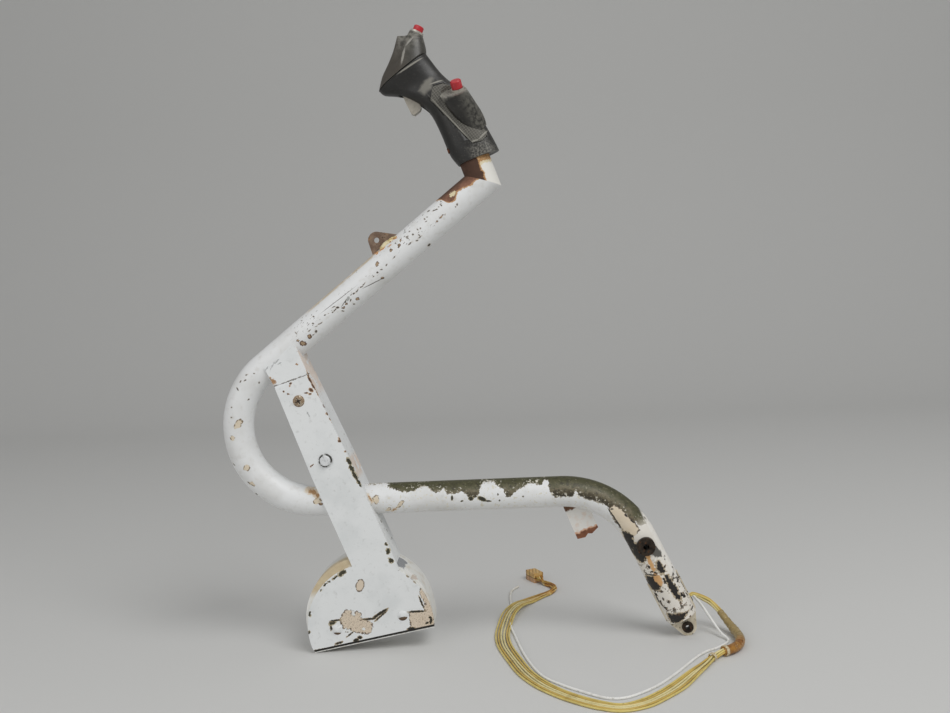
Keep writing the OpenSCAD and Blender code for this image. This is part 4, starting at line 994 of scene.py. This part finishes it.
def boss_plastic():
    """Thumb boss: black side with a painted highlight on its right, worn pale round the rim of its top."""
    s = grip_plastic("boss_plastic", "#1f1e1b", "#35332f", 0.4)
    height = s.along(GRIP_FOOT, direction(90 + STUB_LEAN))
    right = s.along(GRIP_FOOT, direction(STUB_LEAN))
    rim = s.shaken(height, 3, 0.8)
    # Painted light: the right side of the boss is lighter, where it faces the light
    s.coat(s.both(s.ramp(right, 4, 16), s.ramp(s.noise(4, 5, 0.65), 0.35, 0.60)), "#5b5952", 0.45)
    s.coat(s.both(s.ramp(rim, 59, 64), s.ramp(s.noise(2, 4), 0.30, 0.55)), "#8f8c83", 0.5)
    return s.done()


def plain_plastic(name, colour, worn, rough):
    s = Surface(name, colour, rough)
    s.mottle((4, 4), (0.45, 0.70), worn, rough + 0.1, share=0.5)
    s.mottle((1.2, 4), (0.60, 0.70), worn, rough + 0.2, share=0.35)
    s.relief(s.noise(0.8, 3), 0.04)
    return s.done()


def wire_plastic(name, colour, grime, browned):
    """Wire insulation, grimy and browned towards the connector."""
    s = Surface(name, colour, 0.42)
    s.mottle((14, 4), (0.45, 0.70), grime, 0.5, share=0.6)
    s.coat(s.both(s.ramp(s.axis("Y"), 95, 165), s.ramp(s.noise(9, 4), 0.30, 0.55)), browned, 0.5)
    s.mottle((2.5, 4), (0.58, 0.70), "#7d7250", 0.6, share=0.35)
    s.relief(s.noise(1.5, 2), 0.03)
    return s.done()


def amber_sleeve():
    """Thin sleeve, wrinkled and a little translucent, olive tan above and amber below."""
    s = Surface("amber_sleeve", "#8f5a20", 0.3)
    s.mottle((7, 4), (0.35, 0.65), "#b9853a", 0.28)
    s.coat(s.both(s.ramp(s.axis("Y"), -44, -24), 0.9), s.grained(5, 4, "#8d7a4e", "#b8a674"), 0.32)
    s.mottle((3, 5, 0.6), (0.55, 0.68), "#d9c08c", 0.4, share=0.6)
    s.mottle((4, 4), (0.58, 0.70), "#4e2d10", 0.4, share=0.8)
    s.relief(s.noise(2.5, 4), 0.35)
    s.shader.inputs["Transmission Weight"].default_value = 0.15
    s.shader.inputs["IOR"].default_value = 1.45
    return s.done()


def lacing_cord():
    s = Surface("lacing_cord", "#d8ccb0", 0.7)
    s.mottle((1.2, 3), (0.40, 0.65), "#b39c74", 0.75)
    s.relief(s.noise(0.5, 2), 0.12)
    return s.done()


def amber_nylon():
    """Connector block, yellow above, aged pink below, with a dark seam and ribs."""
    s = Surface("amber_nylon", "#c9a05c", 0.38)
    s.mottle((7, 3), (0.40, 0.70), "#d8b878", 0.42)
    s.coat(s.both(s.ramp(s.axis("Z"), -94.5, -96.5), 0.7), "#c4987a", 0.42)
    across = s.along((CONNECTOR_START.x, 0), (1.0, 0.0))
    ribs = s.math("SINE", s.math("MULTIPLY", across, 2 * pi / CONTACT_PITCH))
    s.coat(s.both(s.ramp(ribs, 0.80, 0.95), s.ramp(s.axis("Y"), 198.5, 200)), "#8a6030", 0.5, 0.2)
    seam = s.math("ABSOLUTE", s.math("SUBTRACT", s.axis("Z"), CONNECTOR_START.z))
    s.coat(s.both(s.ramp(seam, 0.7, 0.3), 0.8), "#5c3c1c", 0.5, 0.2)
    s.mottle((2, 4), (0.58, 0.70), "#7d5a2e", 0.5, share=0.5)
    s.shader.inputs["Subsurface Weight"].default_value = 0.1
    s.shader.inputs["Subsurface Radius"].default_value = (0.003, 0.002, 0.001)
    return s.done()


NODE_MATERIALS = {
    tube_paint(): ["stick_tube"],
    stub_paint(): ["top_stub"],
    sheet_paint(): ["arm_front_plate", "arm_channel", "brace_bracket"],
    weight_paint(): ["bob_weight"],
    lug_paint(): ["end_lug"],
    torn_tab_paint(): ["lower_tab"],
    rusty_tab_paint(): ["upper_tab"],
    worn_metal("bush_metal", "#40372f", "#231e1b", "#6b4830", 0.5, 0.58): ["pivot_bush", "lug_bush"],
    screw_paint(): ["arm_screw"],
    bolt_paint(): ["arm_bolt", "arm_nuts"],
    washer_paint(): ["arm_washers"],
    rivet_paint(): ["weight_rivets"],
    worn_metal("bright_metal", "#a9a8a3", "#77756f", "#5b4a3a", 0.34, 0.64):
        ["grip_spigot", "arm_spacers", "cover_screws", "trigger_pin"],
    worn_metal("spring_steel", "#b5b4b0", "#8c8a85", "#6b5a48", 0.3, 0.68):
        ["thumb_spring", "top_spring", "trigger_spring"],
    worn_metal("brown_screw", "#7c4d3a", "#55362a", "#9c6a48", 0.5, 0.56): ["clamp_screw"],
    worn_metal("collar_metal", "#d2cec4", "#a6a29a", "#6d665c", 0.32, 0.66): ["thumb_collar", "top_collar"],
    worn_metal("brass", "#c7a45a", "#9a7a3e", "#6b5230", 0.35, 0.62): ["connector_contacts"],
    grip_body_plastic(): ["grip_body"],
    grip_head_plastic(): ["grip_head"],
    cover_plastic(): ["grip_side_cover"],
    boss_plastic(): ["thumb_boss"],
    plain_plastic("red_plastic", "#b5242c", "#c9525a", 0.35): ["thumb_button", "top_button"],
    plain_plastic("trigger_plastic", "#a8a296", "#857f73", 0.45): ["trigger"],
    plain_plastic("dark_plastic", "#232321", "#3c3b38", 0.5):
        ["thumb_switch", "top_switch", "trigger_switch", "wire_grommet"],
    wire_plastic("inner_wire_plastic", "#d8c98c", "#b8a56a", "#b8a56a"): ["inner_wires"],
    amber_nylon(): ["connector_housing"]
}
for material, nodes in NODE_MATERIALS.items():
    for node in nodes:
        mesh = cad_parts[node].data
        mesh.materials.clear()
        mesh.materials.append(material)


# Grip pieces with their lofted faces shaded smooth

# Slot of each, and the angle below which an edge is smooth
SMOOTH_NODES = {
    "grip_body": ("grip_plastic", 34),
    "grip_head": ("grip_plastic", 34),
    "grip_side_cover": ("cover_plastic", 28)
}
# Corners nearer than this are one
MERGE_DISTANCE = 0.005


def smooth_copy(node, angle):
    """Copy of a solid with smooth shading across edges below an angle."""
    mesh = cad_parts[node].data.copy()
    material = mesh.materials[0]
    mesh.materials.clear()
    shape = bmesh.new()
    shape.from_mesh(mesh)
    bmesh.ops.remove_doubles(shape, verts=shape.verts, dist=MERGE_DISTANCE * MM)
    shape.to_mesh(mesh)
    shape.free()
    mesh.shade_smooth()
    mesh.set_sharp_from_angle(angle=radians(angle))
    piece = add_object(node + "_skin", mesh, material)
    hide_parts(node)
    return piece


for node, (slot, angle) in SMOOTH_NODES.items():
    smooth_copy(node, angle)


# Springs, as copies with smooth shading

TOP_AXIS = (-0.45399, 0.0, -0.891007)
THUMB_AXIS = (0.19862, 0.469472, -0.860318)
TRIGGER_AXIS = (cos(radians(STUB_LEAN)), 0.0, sin(radians(STUB_LEAN)))
SPRING_ANGLE = 40
# Joint, direction to the fixed end, and how much shorter the spring gets in millimetres
SPRINGS = {
    "top_spring": ("top_button_press", TOP_AXIS, 1.65),
    "thumb_spring": ("thumb_button_press", THUMB_AXIS, 1.65),
    "trigger_spring": ("trigger_pull", TRIGGER_AXIS, 4.0)
}


def spring_piece(node):
    piece = smooth_copy(node, SPRING_ANGLE)
    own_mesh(piece)


for node, (joint, axis, travel) in SPRINGS.items():
    spring_piece(node)


# Weld at the ear's foot

WELD_PIXELS = [(380.5, 249.5), (384, 247), (387, 243.5), (390.5, 243), (393, 240), (396, 239.5), (399, 236)]
WELD_RADII = [1.6, 3.3, 3.0, 4.3, 3.4, 4.0, 1.8]
WELD_DEPTH = -5.0
WELD_STEPS = 6
WELD_SIDES = 14


def weld_piece():
    """Lumpy weld bead along the foot of the ear."""
    chance = Random(5)
    knots = []
    for pixel in WELD_PIXELS:
        x, z = from_photo(*pixel, WELD_DEPTH)
        knots.append(Vector((x, WELD_DEPTH, z)) * MM)
    path = curve_points(knots, WELD_STEPS)
    radii = []
    for i in range(len(path)):
        k = min(i // WELD_STEPS, len(WELD_RADII) - 2)
        share = i / WELD_STEPS - k
        radius = WELD_RADII[k] * (1 - share) + WELD_RADII[k + 1] * share
        radii.append(radius * chance.uniform(0.9, 1.05) * MM)
    mesh = tube_mesh("ear_weld", path, radii, WELD_SIDES)
    add_object("ear_weld", mesh, weld_paint())


weld_piece()


# Harness, on the routes of its solids

GROMMET_MOUTH = Vector((45.936, 11.618, -65.747))
GROMMET_OUT = Vector((0.69427, 0.64279, 0.32374))
# Distances out of the grommet: where the bundle starts, where it bends, and where the white wire starts
BUNDLE_START = 0.6
BUNDLE_STRAIGHT = 9
SINGLE_STRAIGHT = 8
BUNDLE_Z = -97.8
CROSSING_Z = -93.8
SINGLE_Z = -99.7
LEAD_ROUTE = [
    (66, 21, -70), (73, 21, -75), (80, 15, -82), (86, 5, -90), (90, -7, -94.5),
    (91.5, -20, -96), (90, -33, -96), (85, -46, -96), (77, -56, -95.6), (67, -62, -95.6)
]
GROUND_ROUTE = [
    (57, -69), (46, -83), (31, -103), (12, -130), (-6, -151), (-26, -168), (-46, -175), (-64, -169),
    (-81, -157), (-98, -141), (-115, -119), (-129, -91), (-140, -56), (-149, -20), (-152, 10), (-150, 40)
]
CROSSING_ROUTE = [(-144, 74), (-134, 102)]
TAIL_ROUTE = [(-121, 124), (-106, 139), (-94, 150), (-89, 163), (-92, 174), (-99.5, 184), (-107, 198)]
SINGLE_START = [(60, 14, -73), (69, 4, -87), (75.5, -10, -96), (80, -24, -99.3)]
SINGLE_ROUTE = [
    (66, -41), (52, -51), (39, -66), (17, -98), (-2, -123), (-19, -140), (-40, -154),
    (-58, -153), (-78, -138), (-96, -121), (-114, -97), (-128, -50), (-138, 8), (-143, 45), (-143, 72),
    (-142, 107), (-143, 140), (-141, 164), (-133, 180)
]
CONNECTOR_HEADING = 118
WIRE_COUNT = 6
WIRE_DIAMETER = 2.0
# Ring of the wires round the bundle's line, its share at both ends, and its twist and jitter by point
WIRE_RING = 2.1
RING_AT_ENDS = 0.62
WIRE_TWIST = 0.22
WIRE_JITTER = 0.18
CURVE_STEPS = 8
# Each wire's place from left to right, where the wires lie side by side on the ground
FAN_PLACES = [0, 1, 3, 5, 4, 2]
FAN_PITCH = 2.9
FAN_Z = -99.7
FAN_CROSSING_Z = -96.6
FAN_JITTER = 0.35
FAN_LIFT = 0.3
# Points over which the ring opens into the fan, and closes again
FAN_STEPS = 3
# How far a wire runs into the connector
CONTACT_LAP = 0.2
SINGLE_DIAMETER = 2.6
SLEEVE_RADIUS = 4.9
SLEEVE_NECK = 3.5
SLEEVE_FOLD = 0.25
FOLD_STEP = 1.9
SLEEVE_CRUMPLE = 0.35
SLEEVE_SIDES = 24
# Point of the route at which the sleeve starts
SLEEVE_START = 2
# Each tie's centre, heading in degrees and radius
TIES = {
    "harness_lacing_a": ((69, -61, -95.5), 31, 5.5),
    "harness_lacing_b": ((54, -73, -96.7), 52, 4.3)
}
TIE_TURNS = 4
TIE_WIDTH = 3.2
TIE_CORD_RADIUS = 0.5
# Steps round one turn, and sides of the cord
TIE_STEPS = 20
TIE_SIDES = 8


def raised(points, z):
    return [Vector((x, y, z)) for x, y in points]


def in_metres(points):
    return [p * MM for p in points]


bundle_route = [GROMMET_MOUTH + BUNDLE_START * GROMMET_OUT, GROMMET_MOUTH + BUNDLE_STRAIGHT * GROMMET_OUT]
bundle_route += [Vector(p) for p in LEAD_ROUTE]
bundle_route += raised(GROUND_ROUTE, BUNDLE_Z) + raised(CROSSING_ROUTE, CROSSING_Z)
bundle_route += raised(TAIL_ROUTE, BUNDLE_Z)
single_route = [GROMMET_MOUTH + SINGLE_STRAIGHT * GROMMET_OUT] + [Vector(p) for p in SINGLE_START]
single_route += raised(SINGLE_ROUTE, SINGLE_Z)


def wire_route(k):
    """Route of one of the six wires: round the bundle's line at both ends, side by side between."""
    chance = Random(k)
    points = []
    last = len(bundle_route) - 1
    rank = FAN_PLACES[k]
    fan_start = len(LEAD_ROUTE) + 2
    fan_end = last - FAN_STEPS
    crossing = range(fan_start + len(GROUND_ROUTE), fan_start + len(GROUND_ROUTE) + len(CROSSING_ROUTE))
    for i, centre in enumerate(bundle_route):
        along = heading(bundle_route, i)
        side = along.cross(Vector((0, 0, 1))).normalized()
        rise = side.cross(along)
        angle = 2 * pi / WIRE_COUNT * k + WIRE_TWIST * i + chance.uniform(-WIRE_JITTER, WIRE_JITTER)
        ring = WIRE_RING if 1 < i < last else RING_AT_ENDS * WIRE_RING
        round_line = centre + ring * (side * cos(angle) + rise * sin(angle))
        spread = (rank - (WIRE_COUNT - 1) / 2) * FAN_PITCH + chance.uniform(-FAN_JITTER, FAN_JITTER)
        flat = centre + side * spread
        flat.z = (FAN_CROSSING_Z if i in crossing else FAN_Z) + chance.uniform(0, FAN_LIFT)
        share = max(0.0, min((i - fan_start) / FAN_STEPS, (fan_end - i) / FAN_STEPS, 1.0))
        points.append(round_line.lerp(flat, share))
    heading_out = Vector((cos(radians(CONNECTOR_HEADING)), sin(radians(CONNECTOR_HEADING)), 0))
    column = (1 - rank // 2) * CONTACT_PITCH
    row = (rank % 2 - 0.5) * CONTACT_PITCH
    side = Vector((-heading_out.y, heading_out.x, 0))
    points[-1] = CONNECTOR_START + side * column + Vector((0, 0, row)) + heading_out * CONTACT_LAP
    return points


def sleeve_piece(material):
    """Wrinkled sleeve over the bundle, narrow at its upper end."""
    chance = Random(11)
    path = curve_points([Vector(p) for p in LEAD_ROUTE[SLEEVE_START:]], CURVE_STEPS)
    radii = []
    for i in range(len(path)):
        share = i / (len(path) - 1)
        swell = SLEEVE_NECK + (SLEEVE_RADIUS - SLEEVE_NECK) * min(1.0, 3 * share)
        radii.append(swell + SLEEVE_FOLD * sin(FOLD_STEP * i) + chance.uniform(-SLEEVE_CRUMPLE, 0.0))
    mesh = tube_mesh("harness_sleeve_skin", in_metres(path), [r * MM for r in radii], SLEEVE_SIDES)
    return add_object("harness_sleeve_skin", mesh, material)


def tie_piece(name, centre, heading_angle, radius, material):
    """Lacing: a few turns of waxed cord."""
    last = TIE_TURNS * TIE_STEPS
    axis = Vector((cos(radians(heading_angle)), sin(radians(heading_angle)), 0))
    side = Vector((-axis.y, axis.x, 0))
    path = []
    for i in range(last + 1):
        angle = 2 * pi * i / TIE_STEPS
        drift = (i / last - 0.5) * TIE_WIDTH
        around = side * cos(angle) + Vector((0, 0, 1)) * sin(angle)
        path.append(Vector(centre) + axis * drift + around * (radius - TIE_CORD_RADIUS))
    mesh = tube_mesh(name, in_metres(path), [TIE_CORD_RADIUS * MM] * len(path), TIE_SIDES)
    return add_object(name, mesh, material)


def make_harness():
    cream = [
        wire_plastic("cream_wire_a", "#dcc878", "#bda75c", "#a8742c"),
        wire_plastic("cream_wire_b", "#d0b25e", "#a88c48", "#8f5c22"),
        wire_plastic("cream_wire_c", "#e5d9a2", "#c9b97c", "#c08c3c")
    ]
    lacing = lacing_cord()
    white = wire_plastic("white_wire_plastic", "#efefec", "#d6d4cd", "#dcd8cc")
    sleeve = sleeve_piece(amber_sleeve())
    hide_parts("harness_sleeve")
    ties = [tie_piece(name, *tie, lacing) for name, tie in TIES.items()]
    for tie in ties:
        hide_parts("harness_ties")
    for k in range(WIRE_COUNT):
        points = in_metres(wire_route(k))
        name = "harness_wire_%d" % (k + 1)
        wire = wire_curve(name, points, WIRE_DIAMETER * MM, cream[k % len(cream)])
        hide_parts("harness_bundle")
        pieces = ["connector_housing", "connector_contacts"]
        if k == 0:
            pieces += [sleeve, *ties]
    points = in_metres(single_route)
    single = wire_curve("single_white_wire", points, SINGLE_DIAMETER * MM, white)
    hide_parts("white_wire")


make_harness()


# Floor, backdrop and light

def make_stage():
    """A pale floor that curves up into a backdrop."""
    front = -3.0
    back = 2.6
    bend = 1.0
    height = 3.5
    half_width = 4.0
    steps = 16
    line = [(front, FLOOR_Z), (back - bend, FLOOR_Z)]
    for i in range(1, steps + 1):
        angle = pi / 2 * i / steps
        line.append((back - bend + bend * sin(angle), FLOOR_Z + bend - bend * cos(angle)))
    line.append((back, FLOOR_Z + height))
    vertices = []
    for y, z in line:
        vertices.append((-half_width, y, z))
        vertices.append((half_width, y, z))
    faces = [(2 * i, 2 * i + 1, 2 * i + 3, 2 * i + 2) for i in range(len(line) - 1)]
    mesh = bpy.data.meshes.new("floor")
    mesh.from_pydata(vertices, [], faces)
    mesh.shade_smooth()
    surface = Surface("floor_paper", "#d3d3d1", 0.8)
    surface.relief(surface.noise(3, 3), 0.02)
    mesh.materials.append(surface.done())
    floor = bpy.data.objects.new("floor", mesh)
    bpy.context.scene.collection.objects.link(floor)


def add_light(name, place, target, size, power):
    data = bpy.data.lights.new(name, "AREA")
    data.shape = "SQUARE"
    data.size = size
    data.energy = power
    light = bpy.data.objects.new(name, data)
    light.location = place
    light.rotation_euler = (Vector(target) - Vector(place)).to_track_quat("-Z", "Y").to_euler()
    bpy.context.scene.collection.objects.link(light)


def make_light():
    middle = (-0.15, 0.0, 0.15)
    add_light("key", (0.9, -1.3, 2.0), middle, 1.4, 30)
    add_light("fill", (-1.4, -1.5, 0.9), middle, 1.6, 9)
    world = bpy.data.worlds.new("world")
    world.use_nodes = True
    background = world.node_tree.nodes["Background"]
    background.inputs["Color"].default_value = (1.0, 1.0, 1.0, 1.0)
    background.inputs["Strength"].default_value = 0.35
    bpy.context.scene.world = world


make_stage()
make_light()
bpy.context.scene.view_settings.view_transform = "Standard"
